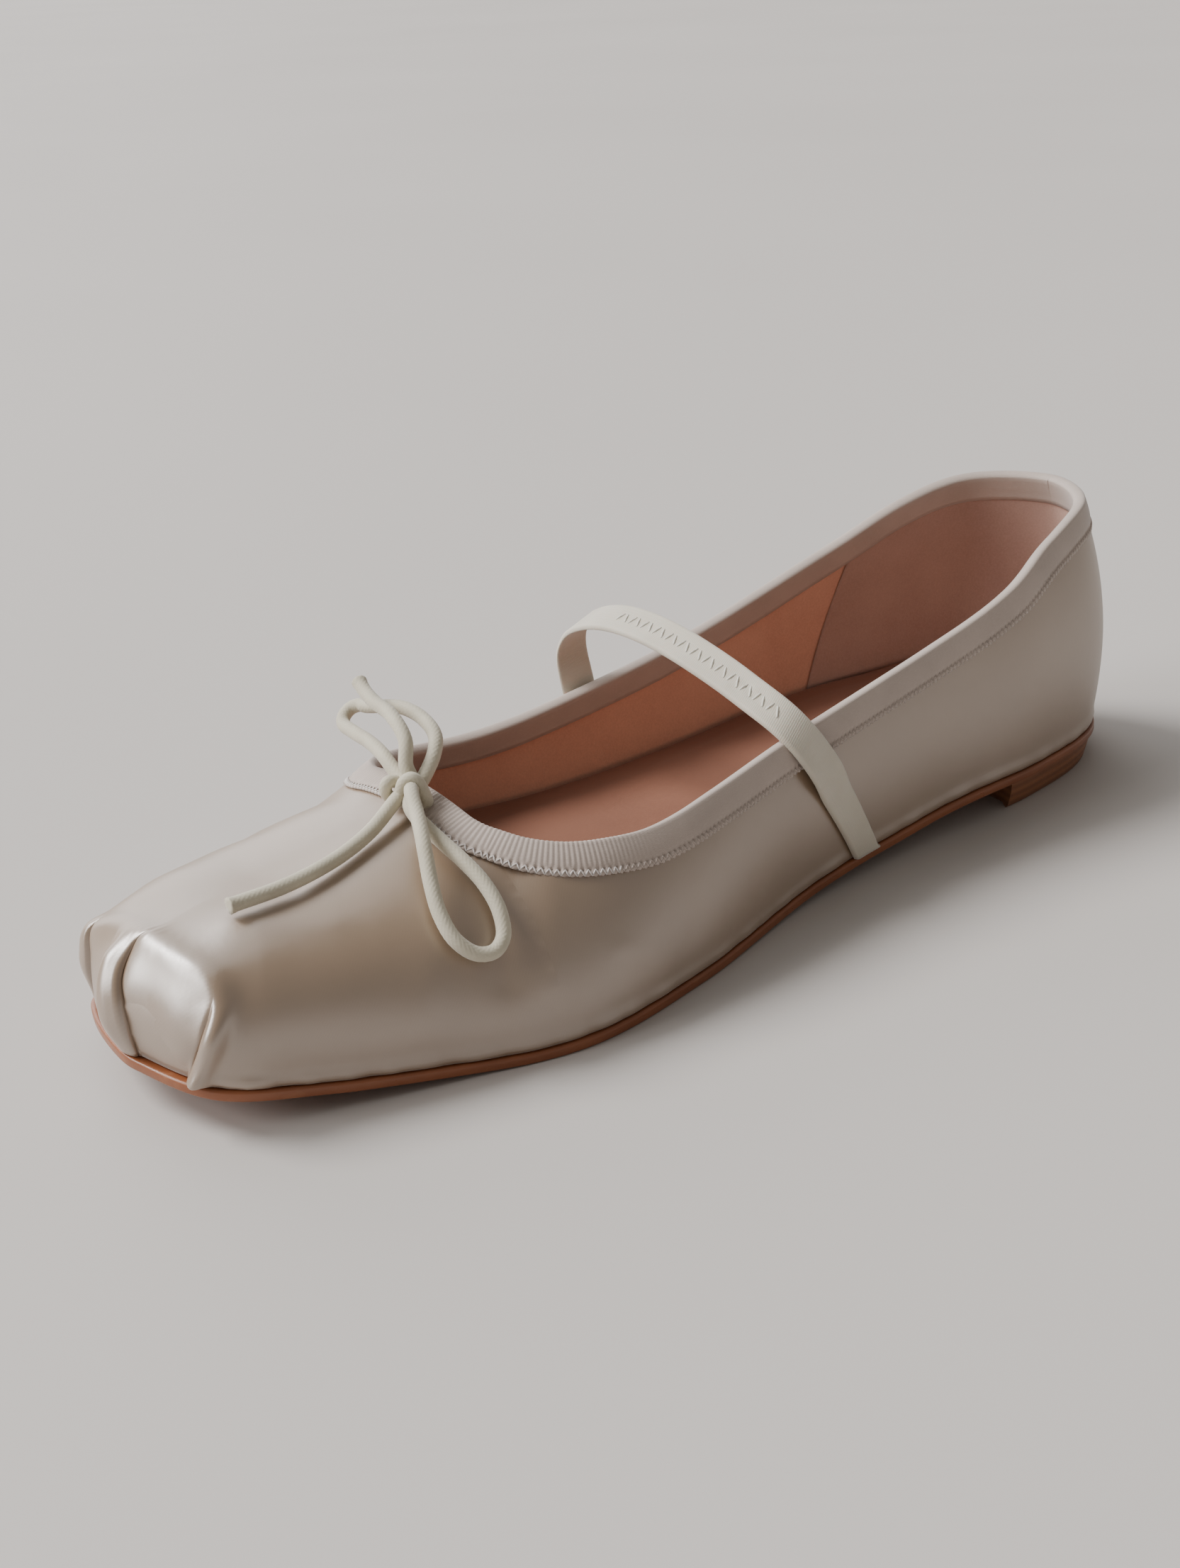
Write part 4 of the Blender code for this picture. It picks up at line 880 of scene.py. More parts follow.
def make_binding_threads(material, shiny):
    """Zigzag thread along the binding's lower edge, on the outside, up to the knot."""
    (top, top_normal), (low, low_normal) = topline_ring(ZIGZAG_BAND, SCALLOP / 2)
    odd = np.arange(len(top))[:, None] % 2 == 1
    line = np.where(odd, top, low)
    height = np.where(odd, THREAD_TOP, THREAD_LOW) + SHINY_LIFT * ease((line[:, :1] - SHINY_X) / 6)
    line = line + np.where(odd, top_normal, low_normal) * height
    middle = (line[:-1] + line[1:]) / 2 + (top_normal[:-1] + top_normal[1:]) / 2 * THREAD_LIFT
    dense = np.stack([line[:-1], middle], 1).reshape(-1, 3)
    step = np.linalg.norm(np.diff(dense, axis=0, append=dense[-1:]), axis=1)
    whole = (step < LONGEST_STITCH) & (np.abs(dense[:, 1] - KNOT[1]) > KNOT_CLEAR)
    front = dense[:, 0] > SHINY_X
    pieces = []
    for name, want, finish in (("binding_thread", ~front, material), ("throat_thread", front, shiny)):
        cloth = Skin()
        for start, end in stretches(want & whole):
            if end - start > 3:
                add_tube(cloth, dense[start:end], THREAD / 2, 6)
        pieces.append(cloth.piece(name, finish))
    return pieces


# ---- sole, heel and insole

HEEL_BREAST_X, BREAST_HOLLOW, HEEL_IN, HEEL_TAPER = 50.0, 2.5, 1.0, 1.0
HEEL_LEVELS = [  # in from the block's edge, height
    (0.0, HEEL_HEIGHT - GAP), (0.1, 4.0), (0.5, 2.0), (HEEL_TAPER - 0.2, 0.7), (HEEL_TAPER, 0.3),
    (HEEL_TAPER + 0.4, 0.0)]
PAIRS = 240
SOLE_TOP_ROUND, SOLE_LOW_ROUND = 0.6, 0.45
INSOLE_ROUND, INSOLE_ACROSS, INSOLE_HALF = 0.8, 44, 30
INSOLE_DISH, SEAM_GROOVE, SEAM_IN, SEAM_HALF = 0.45, 0.16, 4.2, 0.9
SHARP = math.radians(35)        # edges of the heel block steeper than this stay sharp


def edge_line(side, arcs, out):
    return foot(side, arcs) + outward(side, arcs) * out


def make_slab(name, out, levels, across, material, dish=0.0):
    """Sheet that follows the sole's outline. Levels run from the top down: how far in from the
    edge, and how far over the underside. `dish` lowers the top inside its edge."""
    place = np.linspace(0, HALF[INNER], PAIRS + 1)
    paired = arc_of_crest(OUTER, crest_x(INNER, place))
    sides = []
    rings = []
    for inset, rise in levels:
        a, b = edge_line(INNER, place, out - inset), edge_line(OUTER, paired, out - inset)
        b[0], b[-1] = a[0], a[-1]
        plan = np.vstack([a, b[-2:0:-1]])
        rings.append(np.column_stack([plan, underside(plan[:, 0]) + rise]))
        sides.append((a, b))
    cloth = Skin()
    ids = cloth.add(np.array(rings).transpose(1, 0, 2))
    cloth.quads(ids, lengths_along(rings[0], True), np.arange(len(levels)), close_along=True)
    t = np.linspace(0, 1, across + 1)
    for level, drop in ((0, dish), (-1, 0.0)):
        a, b = sides[level]
        plan = (a[:, None] + (b - a)[:, None] * t[:, None])[1:-1, 1:-1]
        inside = cloth.add(np.dstack([plan, underside(plan[..., 0]) + levels[level][1] - drop]))
        ring = ids[:, level]
        toe, heel = (np.full(across + 1, ring[k]) for k in (0, PAIRS))
        table = np.vstack([toe, np.column_stack([ring[1:PAIRS], inside, ring[:PAIRS:-1]]), heel])
        cloth.quads(table, lengths_along((a + b) / 2), (t - 0.5) * np.linalg.norm(a - b, axis=1)[:, None])
    return cloth.piece(name, material)


def round_edge(size, top, lower=False):
    """Levels of a quarter round, from the top down."""
    rows = []
    for a in np.linspace(0, math.pi / 2, 5):
        off_cos, off_sin = size * (1 - math.cos(a)), size * (1 - math.sin(a))
        rows.append((off_cos, top + off_sin) if lower else (off_sin, top - off_cos))
    return rows


def make_outsole(material):
    levels = round_edge(SOLE_TOP_ROUND, SOLE) + round_edge(SOLE_LOW_ROUND, 0.0, lower=True)
    return make_slab("leather_outsole", SOLE_OUT, levels, 4, material)


def make_insole(material):
    """Sock with a softly dished top and a faint stitched line inside its edge."""
    bottom = SOLE + GAP + MARGIN_THICK + GAP
    levels = round_edge(INSOLE_ROUND, bottom + INSOLE) + [(0.0, bottom)]
    edge = 1 - np.abs(2 * np.linspace(0, 1, INSOLE_ACROSS + 1)[1:-1] - 1)
    dish = INSOLE_DISH * ease(edge) + SEAM_GROOVE * hump((edge * INSOLE_HALF - SEAM_IN) / SEAM_HALF)
    return make_slab("suede_insole", -INSOLE_IN, levels, INSOLE_ACROSS, material, dish)


def make_heel(material):
    """Low block with a flat tread, in the outline of the heel seat."""
    rings = []
    for inset, z in HEEL_LEVELS:
        out = SOLE_OUT - HEEL_IN - inset
        inner, outer = (edge_line(side, np.linspace(arc_at(side, HEEL_BREAST_X), HALF[side], 60), out)
                        for side in SIDES)
        t = np.linspace(0, 1, 24)[1:-1, None]
        breast = outer[0] + (inner[0] - outer[0]) * t
        breast[:, 0] -= BREAST_HOLLOW * np.sin(math.pi * t[:, 0]) + inset
        plan = np.vstack([inner, outer[-2::-1], breast])
        rings.append(np.column_stack([plan, np.full(len(plan), z)]))
    cloth = Skin()
    ids = cloth.add(np.array(rings).transpose(1, 0, 2))
    cloth.quads(ids, np.arange(len(ids) + 1), np.arange(len(HEEL_LEVELS)), close_along=True)
    cloth.cap(ids.T)
    piece = cloth.piece("low_heel", material)
    piece.data.set_sharp_from_angle(angle=SHARP)
    return piece


# ---- the strap over the instep

STRAP_X = {OUTER: 117.6, INNER: 113.8}
STRAP_SLANT = {OUTER: 0.30, INNER: 0.62}
STRAP_FOOT, STRAP_OVER, STRAP_RAMP = 1.2, 0.5, 9.5
STRAP_TURN, STRAP_GATHER, STRAP_SPREAD = 14.0, 0.80, 26.0
STRAP_LEAVES = {OUTER: 29.0, INNER: 38.0}
ARCH = [  # y, z of the strap between the two sides
    (-37.9, 33.4), (-38.0, 37.4), (-35.4, 42.0), (-30.4, 45.1), (-23.5, 47.0), (-15.0, 47.5),
    (-6.0, 46.7), (3.0, 45.0), (11.5, 42.9), (19.0, 40.6)]
STRAP_ACROSS = 33
STRAP_ROWS = 30
STRAP_STEPS = 5
STRAP_EDGE = 0.9        # the tape's edges are rounded over this width
ZIGZAG = 3.6            # pitch of the strap's stitches
ZIGZAG_HALF = 2.2
ZIGZAG_SPAN = (0.37, 0.71)      # share of the strap's length that is stitched
STITCH_PULL, STRAP_PULL = 0.24, 0.12    # how deep the stitches and the tape round them are drawn in
EDGE_THIN, EDGE_UNDER = 0.35, 0.3       # share of the tape's thickness left at its edges, and their rise
LINE_RISE, LINE_PITCH = 0.02, 0.8       # of the lines along the tape
STRAP_THREAD, THREAD_ARCH, THREAD_SUNK = 0.22, 0.16, 0.10
STITCH_START, STITCH_LENGTH = 0.26, 0.48        # shares of half a zigzag that each thread covers


def strap_side(side, widths):
    """Rows of points up the outside of the wall, from the sole to where the strap leaves it."""
    slant = STRAP_SLANT[side]
    width = STRAP_WIDTH * widths / math.hypot(1, slant)
    topline = float(topline_z(side, STRAP_X[side]))
    low = float(feather_z(STRAP_X[side])) + STRAP_FOOT
    rows = []
    for height in np.linspace(low, STRAP_LEAVES[side], STRAP_ROWS):
        square = ease((height - low) / STRAP_TURN)
        gather = STRAP_GATHER + (1 - STRAP_GATHER) * ease((height - low) / STRAP_SPREAD)
        x = STRAP_X[side] + slant * (height - topline) + width * gather * (1 + slant**2 * (1 - square))
        z = height - width * gather * slant * square
        arc = arc_of_crest(side, x)
        phi = np.arcsin(np.clip((z - feather_z(x)) / crest_height(x), 0, 1) ** (POWER_FOOT / 2))
        bound = ease((z - topline_z(side, x) + BINDING_OUT + STRAP_RAMP) / (STRAP_RAMP - 1.5))
        lift = GAP + (FOLD_GAP + BINDING + STRAP_OVER - GAP) * bound
        rows.append(skin(side, arc, phi) + skin_normal(side, arc, phi) * lift[:, None])
    return rows


def strap_rows(widths):
    """Under face and normals of the whole strap, softened where it leaves the walls."""
    first, last = strap_side(OUTER, widths), strap_side(INNER, widths)[::-1]
    start, end = first[-1].mean(axis=0), last[0].mean(axis=0)
    middle = [(np.interp(y, (start[1], end[1]), (start[0], end[0])), y, z) for y, z in ARCH]
    guide = [first[-8].mean(axis=0), start, *middle, end, last[7].mean(axis=0)]
    line = curve_through(guide, STRAP_STEPS)[STRAP_STEPS + 1:-STRAP_STEPS - 1]
    across = [unit(row[-1] - row[0]) for row in (first[-1], last[0])]
    arch = []
    for i, centre in enumerate(line):
        t = (i + 1) / (len(line) + 1)
        arch.append(centre + np.outer(widths * STRAP_WIDTH, unit(across[0] * (1 - t) + across[1] * t)))
    face = np.array([*first, *arch, *last])
    blend = np.zeros(len(face))
    for at in (len(first), len(first) + len(line)):
        blend = np.maximum(blend, ease(1 - abs(np.arange(len(face)) - at) / 11))
    for _ in range(24):
        calm = face.copy()
        calm[1:-1] = (face[:-2] + 2 * face[1:-1] + face[2:]) / 4
        face = face + (calm - face) * blend[:, None, None]
    normal = unit(np.cross(np.gradient(face, axis=1), np.gradient(face, axis=0)))
    centre = np.array([face[..., 0].mean(), 0.0, 25.0])
    return face, normal * np.sign(((face - centre) * normal).sum(-1).mean())


def zigzag(run):
    """How far the strap's stitches stand off its middle line, from -1 to 1."""
    return 2 * np.abs(run / ZIGZAG * 2 % 2 - 1) - 1


def grid_point(grid, i, j):
    """Point between four points of a table."""
    i0, j0 = min(int(i), grid.shape[0] - 2), min(int(j), grid.shape[1] - 2)
    fi, fj = i - i0, j - j0
    near, far = (grid[i0, k] * (1 - fi) + grid[i0 + 1, k] * fi for k in (j0, j0 + 1))
    return near * (1 - fj) + far * fj


def make_strap(material, thread_material):
    """Soft elastic tape with a zigzag of stitches along its middle."""
    widths = np.linspace(-0.5, 0.5, STRAP_ACROSS)
    w = widths * STRAP_WIDTH
    face, normal = strap_rows(widths)
    run = lengths_along(face[:, STRAP_ACROSS // 2])
    share = run / run[-1]
    edge = np.sqrt(1 - ((np.abs(w) - STRAP_WIDTH / 2 + STRAP_EDGE) / STRAP_EDGE).clip(0, 1) ** 2)
    lines = LINE_RISE * np.cos(2 * math.pi * w / LINE_PITCH) * edge
    thick = STRAP_THICK * (EDGE_THIN + (1 - EDGE_THIN) * edge) + lines
    turn = zigzag(run)[:, None]
    inside = (ease((share - ZIGZAG_SPAN[0]) / 0.05) * ease((ZIGZAG_SPAN[1] - share) / 0.02))[:, None]
    sunk = STITCH_PULL * inside * ease((1 - np.abs(turn)) / 0.5) * hump((w - ZIGZAG_HALF * turn) / 0.9)
    pull = STRAP_PULL * inside * hump(w / 2.8)
    back = face + normal * (thick - sunk - pull)[..., None]
    under = face + normal * ((1 - edge) * EDGE_UNDER)[:, None]
    cloth = Skin()
    ids = cloth.add(np.concatenate([under, back[:, ::-1]], 1))
    cloth.quads(ids, run, [*w, *(w[::-1] + 10), 20], close_round=True)
    cloth.cap(ids)
    strap = cloth.piece("elastic_strap", material)

    stitched = run[(share > ZIGZAG_SPAN[0]) & (share < ZIGZAG_SPAN[1])]
    threads = Skin()
    half = ZIGZAG / 2
    first = math.ceil(stitched[0] / half)
    for k in range(first, first + int((stitched[-1] - stitched[0]) / half)):
        line = []
        for t in np.linspace(0, 1, 9):
            s = (k + STITCH_START + STITCH_LENGTH * t) * half
            i = np.interp(s, run, np.arange(len(run)))
            j = (ZIGZAG_HALF * zigzag(s) / STRAP_WIDTH + 0.5) * (STRAP_ACROSS - 1)
            lift = THREAD_ARCH * math.sin(math.pi * t) - THREAD_SUNK
            line.append(grid_point(back, i, j) + normal[int(i), int(j)] * lift)
        add_tube(threads, np.array(line), STRAP_THREAD, 8)
    return strap, threads.piece("strap_zigzag", thread_material)


# ---- the cord bow

KNOT = np.array((185.4, 3.6, 40.35))
BOW = {  # x, y, z, each from the knot outwards, as in the solids; the outer loop's tip is rounder
    "bow_loop_inner": [
        (189.2, 8.9, 40.8), (190.6, 12.1, 39.7), (192.5, 16.2, 38.0), (194.4, 20.1, 35.4),
        (196.1, 23.8, 32.0), (197.4, 27.9, 28.4), (197.0, 31.4, 24.8), (194.5, 33.7, 22.2),
        (191.4, 34.5, 21.8), (188.9, 33.8, 23.4), (187.7, 31.3, 27.0), (187.6, 27.0, 30.5),
        (188.3, 22.0, 33.2), (188.9, 17.2, 35.0), (189.1, 12.7, 36.3), (188.9, 9.0, 37.2)],
    "bow_loop_outer": [
        (186.3, -0.5, 41.5), (185.5, -6.0, 43.1), (184.1, -12.5, 43.0), (183.1, -20.0, 42.5),
        (182.0, -25.2, 42.2), (180.9, -26.6, 43.0), (179.2, -26.7, 44.1), (178.0, -25.2, 44.9),
        (177.9, -23.2, 45.2), (177.3, -17.6, 46.7), (176.6, -12.2, 47.8), (176.5, -6.0, 47.6),
        (177.9, 0.1, 46.3), (180.5, 3.2, 44.5)],
    "bow_tail_front": [
        (188.8, 3.8, 39.1), (196.2, 6.1, 35.9), (202.8, 7.7, 34.3), (209.6, 8.7, 33.4),
        (216.5, 9.1, 32.9), (226.3, 9.0, 32.9)],
    "bow_tail_back": [
        (185.8, 2.2, 43.6), (184.5, 0.5, 47.5), (183.0, -6.0, 50.0), (182.2, -12.5, 50.3),
        (181.3, -17.3, 50.8), (180.7, -20.2, 51.8)]}
INTO_KNOT = {  # points that carry each cord on into the knot, at its start and at its end
    "bow_loop_inner": ([(185.9, 4.2, 40.0), (187.6, 6.2, 41.0)], [(188.4, 6.6, 38.2), (186.4, 4.2, 39.4)]),
    "bow_loop_outer": ([(186.2, 2.6, 40.4)], [(182.3, 3.9, 42.6), (184.2, 4.2, 40.6)]),
    "bow_tail_front": ([(186.6, 3.6, 40.0)], []),
    "bow_tail_back": ([(185.4, 3.4, 41.2)], [])}
WRAP = [  # the knot's turn, from the knot's middle: right, up and towards the eye of the photo
    (-2.4, -2.9, 0.2), (-2.25, -1.0, 1.5), (-1.7, 0.4, 2.3), (-0.5, 1.05, 2.6), (0.6, 0.4, 2.4),
    (1.6, -1.3, 1.8), (2.3, -3.1, 0.5), (1.7, -3.7, -1.6), (-0.4, -2.4, -2.9), (-2.0, -2.5, -1.8)]
SHOULDER = [  # the half knot beside it
    (-1.0, -0.6, -1.6), (-3.2, 0.5, -0.5), (-4.6, 0.3, 0.2), (-5.0, -1.0, -0.4), (-4.2, -2.2, -1.3),
    (-1.8, -2.4, -2.2)]
STRANDS = 10            # of the braid, each way round
BRAID_CELL = 0.95       # along the cord from strand to strand
BRAID_RISE = 0.10
BRAID_STEP = 0.16
BRAID_SIDES = 48
TAIL_FRAY = 0.16
WRAP_CORD, SHOULDER_CORD = CORD * 0.9, CORD * 0.88      # the knot's cord is pulled tight


def braid_height(turn, run):
    """Herringbone of a round braid: each strand passes over two and under two."""
    a = turn * STRANDS + run / BRAID_CELL
    b = -turn * STRANDS + run / BRAID_CELL
    over_a = np.mod(np.floor(a) - np.floor(b), 4) < 2
    across = np.where(over_a, a, b) % 1 - 0.5
    along = np.where(over_a, b, a) % 1 - 0.5
    return np.sqrt(np.clip(1 - (across / 0.52) ** 2, 0, 1)) * (0.75 + 0.25 * np.cos(math.pi * along))


def add_braid(cloth, route, diameter, closed=False, fray=0.0):
    """Braided cord along a route; its far end opens by `fray`. Gives back the line it follows."""
    line = even_points(curve_through(route, CURVE_STEPS, closed), BRAID_STEP)
    line = line[:-1] if closed else line
    radius = diameter / 2
    a, b = frames_along(line, closed)
    run = lengths_along(line, closed)
    turn = np.arange(BRAID_SIDES) / BRAID_SIDES
    twist = math.atan2(a[0] @ b[-1], a[0] @ a[-1]) if closed else 0.0
    ring = spokes((a, b), 2 * math.pi * turn + np.linspace(0, twist, len(line))[:, None])
    at = run[:len(line), None]
    size = radius + fray * hump((at[-1] - at) / 0.9) + BRAID_RISE * (braid_height(turn, at) - 0.6)
    ids = cloth.add(line[:, None] + ring * size[..., None])
    cloth.quads(ids, run, np.append(turn, 1) * 2 * math.pi * radius, closed, True)
    for k, way in () if closed else ((0, -1), (len(line) - 1, 1)):
        centre = cloth.add(line[k][None, None])[0, 0]
        inner = cloth.add((line[k] + ring[k] * radius * 0.55)[None])[0]
        for i in range(BRAID_SIDES):
            j = (i + 1) % BRAID_SIDES
            cloth.fan([ids[k, i], ids[k, j], inner[j], inner[i]][::way])
            cloth.fan([inner[i], inner[j], centre][::way])
    return line


def make_cord(name, route, material):
    """One loop or tail of the bow, and the line it follows."""
    start, end = INTO_KNOT[name]
    cloth = Skin()
    line = add_braid(cloth, start + route + end, CORD, fray=TAIL_FRAY if name.startswith("bow_tail") else 0.0)
    return stand_in(cloth.piece(name.replace("bow", "cord"), material), name), line


def make_knot(material):
    """The turn of cord that holds the loops, and the half knot beside it."""
    cloth = Skin()
    axes = np.array([EYE_RIGHT, EYE_UP, EYE_BACK])
    add_braid(cloth, KNOT + np.array(WRAP) @ axes, WRAP_CORD, closed=True)
    add_braid(cloth, KNOT + np.array(SHOULDER) @ axes, SHOULDER_CORD)
    return stand_in(cloth.piece("cord_knot", material), "bow_knot")


# ---- materials

WAVE_SCALE = 0.31416    # of a wave texture whose bands lie 1 apart


class Look:
    """A Principled material and a few shorthands for its nodes. Names of sockets have _ for a space."""

    def __init__(self, name, colour, roughness, **fixed):
        self.material = bpy.data.materials.new(name)
        self.material.use_nodes = True
        self.tree = self.material.node_tree
        self.shader = self.tree.nodes["Principled BSDF"]
        self.set(self.shader, {"Base_Color": (*colour, 1.0), "Roughness": roughness, **fixed})

    def set(self, node, values):
        for socket, value in values.items():
            target = node.inputs[socket if isinstance(socket, int) else socket.replace("_", " ")]
            if isinstance(value, bpy.types.NodeSocket):
                self.tree.links.new(value, target)
            else:
                target.default_value = value

    def node(self, kind, values, **settings):
        node = self.tree.nodes.new("ShaderNode" + kind)
        for key, value in settings.items():
            setattr(node, key, value)
        self.set(node, values)
        return node

    def mapped(self, vector, scale, turn=0.0):
        values = {"Vector": vector, "Scale": scale, "Rotation": (0, 0, math.radians(turn))}
        return self.node("Mapping", values).outputs["Vector"]

    def space(self, scale=(1, 1, 1)):
        """Object coordinates in millimetres."""
        coords = self.node("TexCoord", {})
        return self.mapped(coords.outputs["Object"], tuple(s / MM for s in scale))

    def cloth(self, scale=(1, 1, 1), turn=0.0):
        """Cloth coordinates in millimetres, turned by this many degrees."""
        return self.mapped(self.node("UVMap", {}, uv_map="cloth").outputs["UV"], scale, turn)

    def noise(self, vector, size, detail=2.0, rough=0.5):
        """Noise with features of about this size in millimetres, 0 to 1."""
        values = {"Vector": vector, "Scale": 1.0 / size, "Detail": detail, "Roughness": rough}
        return self.node("TexNoise", values).outputs["Fac"]

    def wave(self, vector, pitch, direction="X", distortion=0.0):
        """Bands of this pitch in millimetres, 0 to 1."""
        values = {"Vector": vector, "Scale": WAVE_SCALE / pitch, "Distortion": distortion, "Detail": 1.0}
        return self.node("TexWave", values, bands_direction=direction).outputs["Fac"]

    def mix(self, factor, a, b):
        a, b = (c if isinstance(c, bpy.types.NodeSocket) else (*c, 1.0) for c in (a, b))
        return self.node("Mix", {0: factor, 6: a, 7: b}, data_type="RGBA").outputs[2]

    def maths(self, operation, a, b):
        return self.node("Math", {0: a, 1: b}, operation=operation).outputs[0]

    def span(self, value, low, high, to_low=0.0, to_high=1.0):
        values = {"Value": value, "From_Min": low, "From_Max": high, "To_Min": to_low, "To_Max": to_high}
        return self.node("MapRange", values).outputs["Result"]

    def bump(self, height, distance_mm, strength, **before):
        """Bump on top of the one before it, if `Normal` gives one."""
        values = {"Height": height, "Distance": distance_mm * MM, "Strength": strength, **before}
        return self.node("Bump", values).outputs["Normal"]

    def mottle(self, size, a, b, detail=2.0, edge=0.3):
        """Two colours in soft patches of about this size."""
        return self.mix(self.span(self.noise(self.space(), size, detail), edge, 1 - edge), a, b)

    def flecks(self, colour, value, low, high, most, light):
        """The colour with flecks of another where the value is high."""
        return self.mix(self.span(value, low, high, 0.0, most), colour, light)

    def finish(self, **links):
        self.set(self.shader, links)
        return self.material

    def grained(self, colour, grain, flecks, rough, normal):
        """Finishes with flecks and a roughness that follow the grain."""
        return self.finish(Base_Color=self.flecks(colour, grain, *flecks),
                           Roughness=self.span(grain, *rough), Normal=normal)


def satin_look():
    look = Look("satin", (0.28, 0.184, 0.109), 0.32, IOR=2.1, Specular_IOR_Level=0.95, Metallic=0.05,
                Anisotropic=0.65, Anisotropic_Rotation=0.25, Sheen_Weight=0.30, Sheen_Roughness=0.40,
                Sheen_Tint=(1.0, 0.98, 0.95, 1.0))
    colour = look.mottle(30.0, (0.278, 0.180, 0.106), (0.243, 0.155, 0.090))
    twill = look.wave(look.cloth(turn=32), 0.45)
    slub = look.noise(look.cloth(scale=(1, 0.12, 1)), 0.35)
    grain = look.noise(look.cloth(), 0.3, 3.0)
    colour = look.mix(look.maths("MULTIPLY", twill, 0.06), colour, (0.40, 0.31, 0.22))
    rough = look.span(look.maths("ADD", slub, grain), 0.6, 1.4, 0.33, 0.43)
    fine = look.bump(look.maths("ADD", twill, grain), 0.004, 0.3)
    wavy = look.bump(look.noise(look.space(), 5.0), 0.15, 0.3, Normal=fine)
    return look.finish(Base_Color=colour, Roughness=rough, Normal=wavy)


def grosgrain_look():
    look = Look("grosgrain", (0.50, 0.42, 0.37), 0.5, Sheen_Weight=0.35, Sheen_Roughness=0.4,
                Specular_IOR_Level=0.4)
    thread = look.noise(look.cloth(scale=(0.5, 4, 1)), 0.5)
    colour = look.mottle(12.0, (0.50, 0.415, 0.365), (0.44, 0.365, 0.32))
    weft = look.wave(look.cloth(), 0.22, "Y", 1.0)
    return look.grained(colour, thread, (0.45, 0.75, 0.35, (0.62, 0.54, 0.49)), (0.3, 0.7, 0.42, 0.62),
                        look.bump(look.maths("ADD", weft, thread), 0.03, 0.6))


def suede_look(name, light, dark):
    look = Look(name, light, 0.85, Sheen_Weight=0.5, Sheen_Roughness=0.6, Sheen_Tint=(1.0, 0.72, 0.58, 1.0),
                Specular_IOR_Level=0.2)
    fibre = look.noise(look.space(), 0.45, 3.0, 0.6)
    colour = look.mottle(16.0, light, dark, 3.0)
    pale = [min(1.0, c * 1.5) for c in light]
    normal = look.bump(look.noise(look.space(), 3.0), 0.2, 0.4, Normal=look.bump(fibre, 0.06, 0.6))
    return look.grained(colour, fibre, (0.35, 0.75, 0.25, pale), (0.3, 0.7, 0.75, 0.95), normal)


def insole_look():
    look = Look("insole_suede", (0.24, 0.10, 0.06), 0.75, Sheen_Weight=0.15, Sheen_Roughness=0.5,
                Specular_IOR_Level=0.3)
    grain = look.noise(look.space(), 0.6, 3.0, 0.6)
    colour = look.mottle(20.0, (0.25, 0.105, 0.062), (0.215, 0.088, 0.052), 3.0)
    return look.grained(colour, grain, (0.4, 0.8, 0.3, (0.32, 0.15, 0.10)), (0.3, 0.7, 0.6, 0.85),
                        look.bump(grain, 0.05, 0.6))


def sole_look():
    look = Look("sole_leather", (0.36, 0.12, 0.045), 0.34, Coat_Weight=0.12, Coat_Roughness=0.25)
    scuff = look.noise(look.space(scale=(0.25, 1, 1)), 3.0, 4.0, 0.65)
    colour = look.mottle(14.0, (0.30, 0.10, 0.038), (0.21, 0.066, 0.025), 4.0, 0.25)
    return look.grained(colour, scuff, (0.55, 0.8, 0.35, (0.46, 0.22, 0.11)), (0.3, 0.8, 0.26, 0.5),
                        look.bump(look.noise(look.space(), 0.4, 3.0), 0.04, 0.5))


def heel_look():
    look = Look("heel_stack", (0.26, 0.10, 0.045), 0.45)
    layers = look.wave(look.space(), 2.0, "Z", 0.4)
    grain = look.noise(look.space(scale=(1, 1, 3)), 0.8, 3.0)
    colour = look.mix(layers, (0.29, 0.115, 0.05), (0.20, 0.075, 0.032))
    return look.grained(colour, grain, (0.4, 0.8, 0.3, (0.36, 0.17, 0.09)), (0.3, 0.7, 0.38, 0.6),
                        look.bump(look.maths("ADD", grain, layers), 0.05, 0.5))


def elastic_look():
    look = Look("elastic", (0.62, 0.57, 0.475), 0.62, Sheen_Weight=0.4, Sheen_Roughness=0.5,
                Specular_IOR_Level=0.35, Subsurface_Weight=0.08, Subsurface_Scale=0.001)
    fibre = look.noise(look.cloth(scale=(3, 1, 1)), 0.5)
    colour = look.mottle(9.0, (0.64, 0.59, 0.495), (0.58, 0.53, 0.435))
    weft = look.wave(look.cloth(), 0.42, "X", 1.2)
    return look.grained(colour, fibre, (0.4, 0.8, 0.25, (0.72, 0.68, 0.59)), (0.3, 0.7, 0.55, 0.75),
                        look.bump(look.maths("ADD", weft, fibre), 0.035, 0.6))


def cord_look():
    look = Look("braided_cord", (0.58, 0.53, 0.41), 0.6, Sheen_Weight=0.35, Sheen_Roughness=0.45,
                Specular_IOR_Level=0.3)
    fibre = look.noise(look.cloth(scale=(1, 3, 1)), 0.22, 3.0)
    colour = look.mottle(6.0, (0.60, 0.55, 0.43), (0.50, 0.455, 0.35))
    return look.grained(colour, fibre, (0.4, 0.8, 0.4, (0.70, 0.66, 0.54)), (0.3, 0.7, 0.5, 0.7),
                        look.bump(fibre, 0.05, 0.7))


def thread_look(name, colour, roughness):
    look = Look(name, colour, roughness)
    ply = look.wave(look.cloth(turn=35), 0.25)
    shade = look.mix(look.span(ply, 0, 1, 0.0, 0.35), colour, [c * 0.72 for c in colour])
    return look.finish(Base_Color=shade, Normal=look.bump(ply, 0.03, 0.6))


def floor_look():
    look = Look("pale_floor", (0.56, 0.525, 0.50), 0.7)
    return look.finish(Base_Color=look.mottle(400.0, (0.57, 0.535, 0.51), (0.55, 0.515, 0.49)))


# ---- camera, floor and lights

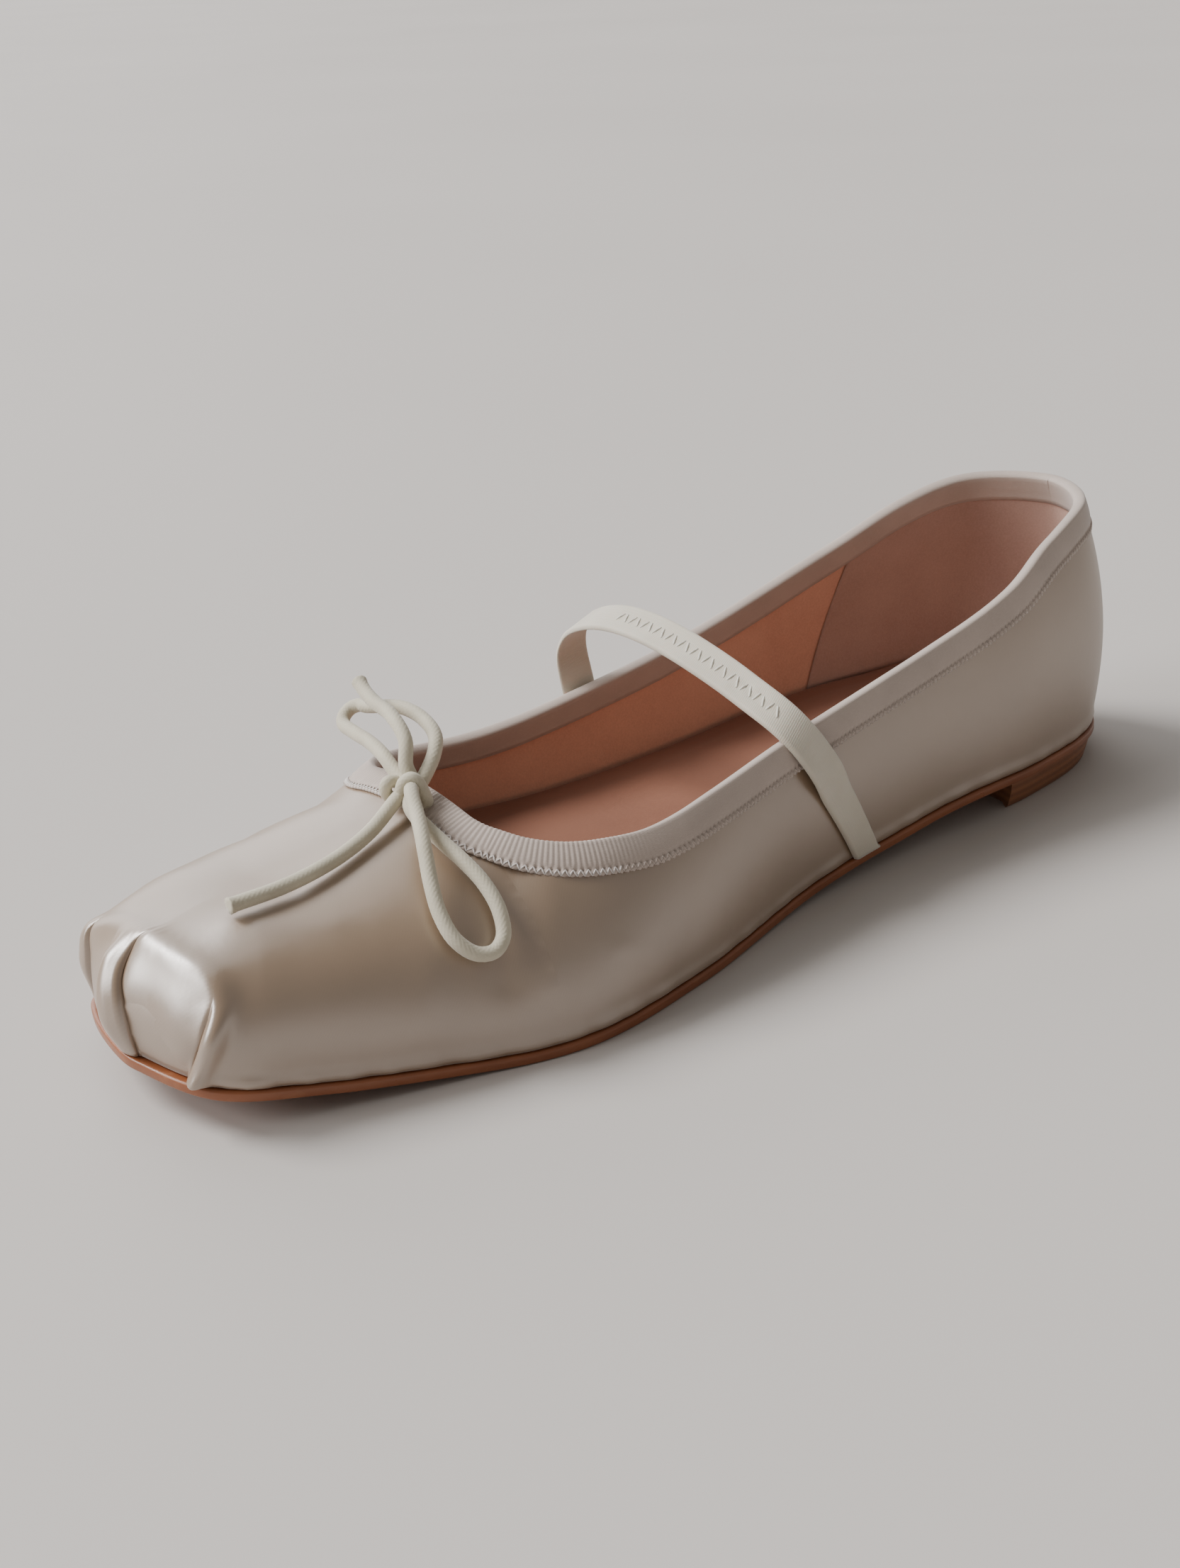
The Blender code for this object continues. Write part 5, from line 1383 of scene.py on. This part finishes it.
EYE = (0.18017, 0.26513, 0.17980)       # metres
EYE_RIGHT = np.array((-0.84226, 0.53217, -0.08593))
EYE_UP = np.array((-0.29044, -0.31371, 0.90401))
EYE_BACK = np.array((0.45413, 0.78637, 0.41879))
SIGHT = np.array((-0.5540, -0.7201, -0.4179))      # towards the whole shoe's middle
LENS, SENSOR = 43.5, 36.0
FLOOR_REACH = 7.0
SUNS = [  # name, towards its middle, apparent size in degrees, power, colour
    ("window", (0.42, -0.53, 0.74), 26, 3.6, (1.0, 0.99, 0.98)),
    ("side_window", (0.80, -0.30, 0.48), 26, 1.5, (1.0, 0.99, 0.98)),
    ("back_glow", (-0.10, -0.97, 0.20), 50, 1.4, (0.98, 0.99, 1.0)),
    ("ceiling", (-0.05, -0.55, 0.83), 60, 0.6, (0.94, 0.97, 1.0))]
SKY_COLOUR, SKY_STRENGTH = (1.0, 0.95, 0.88, 1.0), 0.26


def make_camera():
    back = unit(-SIGHT)
    right = unit(np.cross(EYE_UP, back))
    data = bpy.data.cameras.new("camera")
    data.lens = LENS
    data.sensor_width = SENSOR
    data.clip_start, data.clip_end = 0.01, 20.0
    matrix = Matrix(np.column_stack([right, np.cross(back, right), back]).tolist()).to_4x4()
    matrix.translation = Vector(EYE)
    camera = place_object("camera", data)
    camera.matrix_world = matrix
    bpy.context.scene.camera = camera


def make_stage():
    mesh = bpy.data.meshes.new("floor")
    corners = [(x * FLOOR_REACH, y * FLOOR_REACH, 0) for x, y in ((-1, -1), (1, -1), (1, 1), (-1, 1))]
    mesh.from_pydata(corners, [], [(0, 1, 2, 3)])
    mesh.materials.append(floor_look())
    place_object("floor", mesh)


def make_lights():
    """Soft suns from far off, and a warm sky."""
    world = bpy.data.worlds.new("soft_sky")
    bpy.context.scene.world = world
    world.use_nodes = True
    sky = world.node_tree.nodes["Background"]
    sky.inputs["Color"].default_value = SKY_COLOUR
    sky.inputs["Strength"].default_value = SKY_STRENGTH
    for name, towards, width, power, colour in SUNS:
        data = bpy.data.lights.new(name, "SUN")
        data.angle = math.radians(width)
        data.energy = power
        data.color = colour
        lamp = place_object(name, data)
        lamp.location = Vector(towards)
        lamp.rotation_euler = Vector(towards).to_track_quat("Z", "Y").to_euler()


# ---- everything together

make_camera()
cord_material = cord_look()
cords = {name: make_cord(name, route, cord_material) for name, route in BOW.items()}
knot = make_knot(cord_material)
for name, (piece, line) in cords.items():
    path = in_metres(line)
    length = float(lengths_along(path)[-1])

stand_in(make_satin(satin_look()), "upper")
pink_suede = suede_look("suede_lining", (0.66, 0.38, 0.275), (0.58, 0.32, 0.23))
stand_in(make_lining(pink_suede), "upper")
dark_suede = suede_look("heel_suede", (0.44, 0.30, 0.255), (0.38, 0.25, 0.21))
stand_in(make_heel_lining(dark_suede), None)
stand_in(make_binding(grosgrain_look()), "topline_binding")
matt_thread = thread_look("binding_thread", (0.50, 0.42, 0.37), 0.5)
clear_thread = thread_look("clear_thread", (0.70, 0.65, 0.62), 0.22)
for threads in make_binding_threads(matt_thread, clear_thread):
    stand_in(threads, None)
stand_in(make_outsole(sole_look()), "outsole")
stand_in(make_heel(heel_look()), "heel")
stand_in(make_insole(insole_look()), "insole")
strap, strap_threads = make_strap(elastic_look(), thread_look("strap_thread", (0.74, 0.71, 0.63), 0.4))
stand_in(strap, "instep_strap")
stand_in(strap_threads, None)

make_stage()
make_lights()
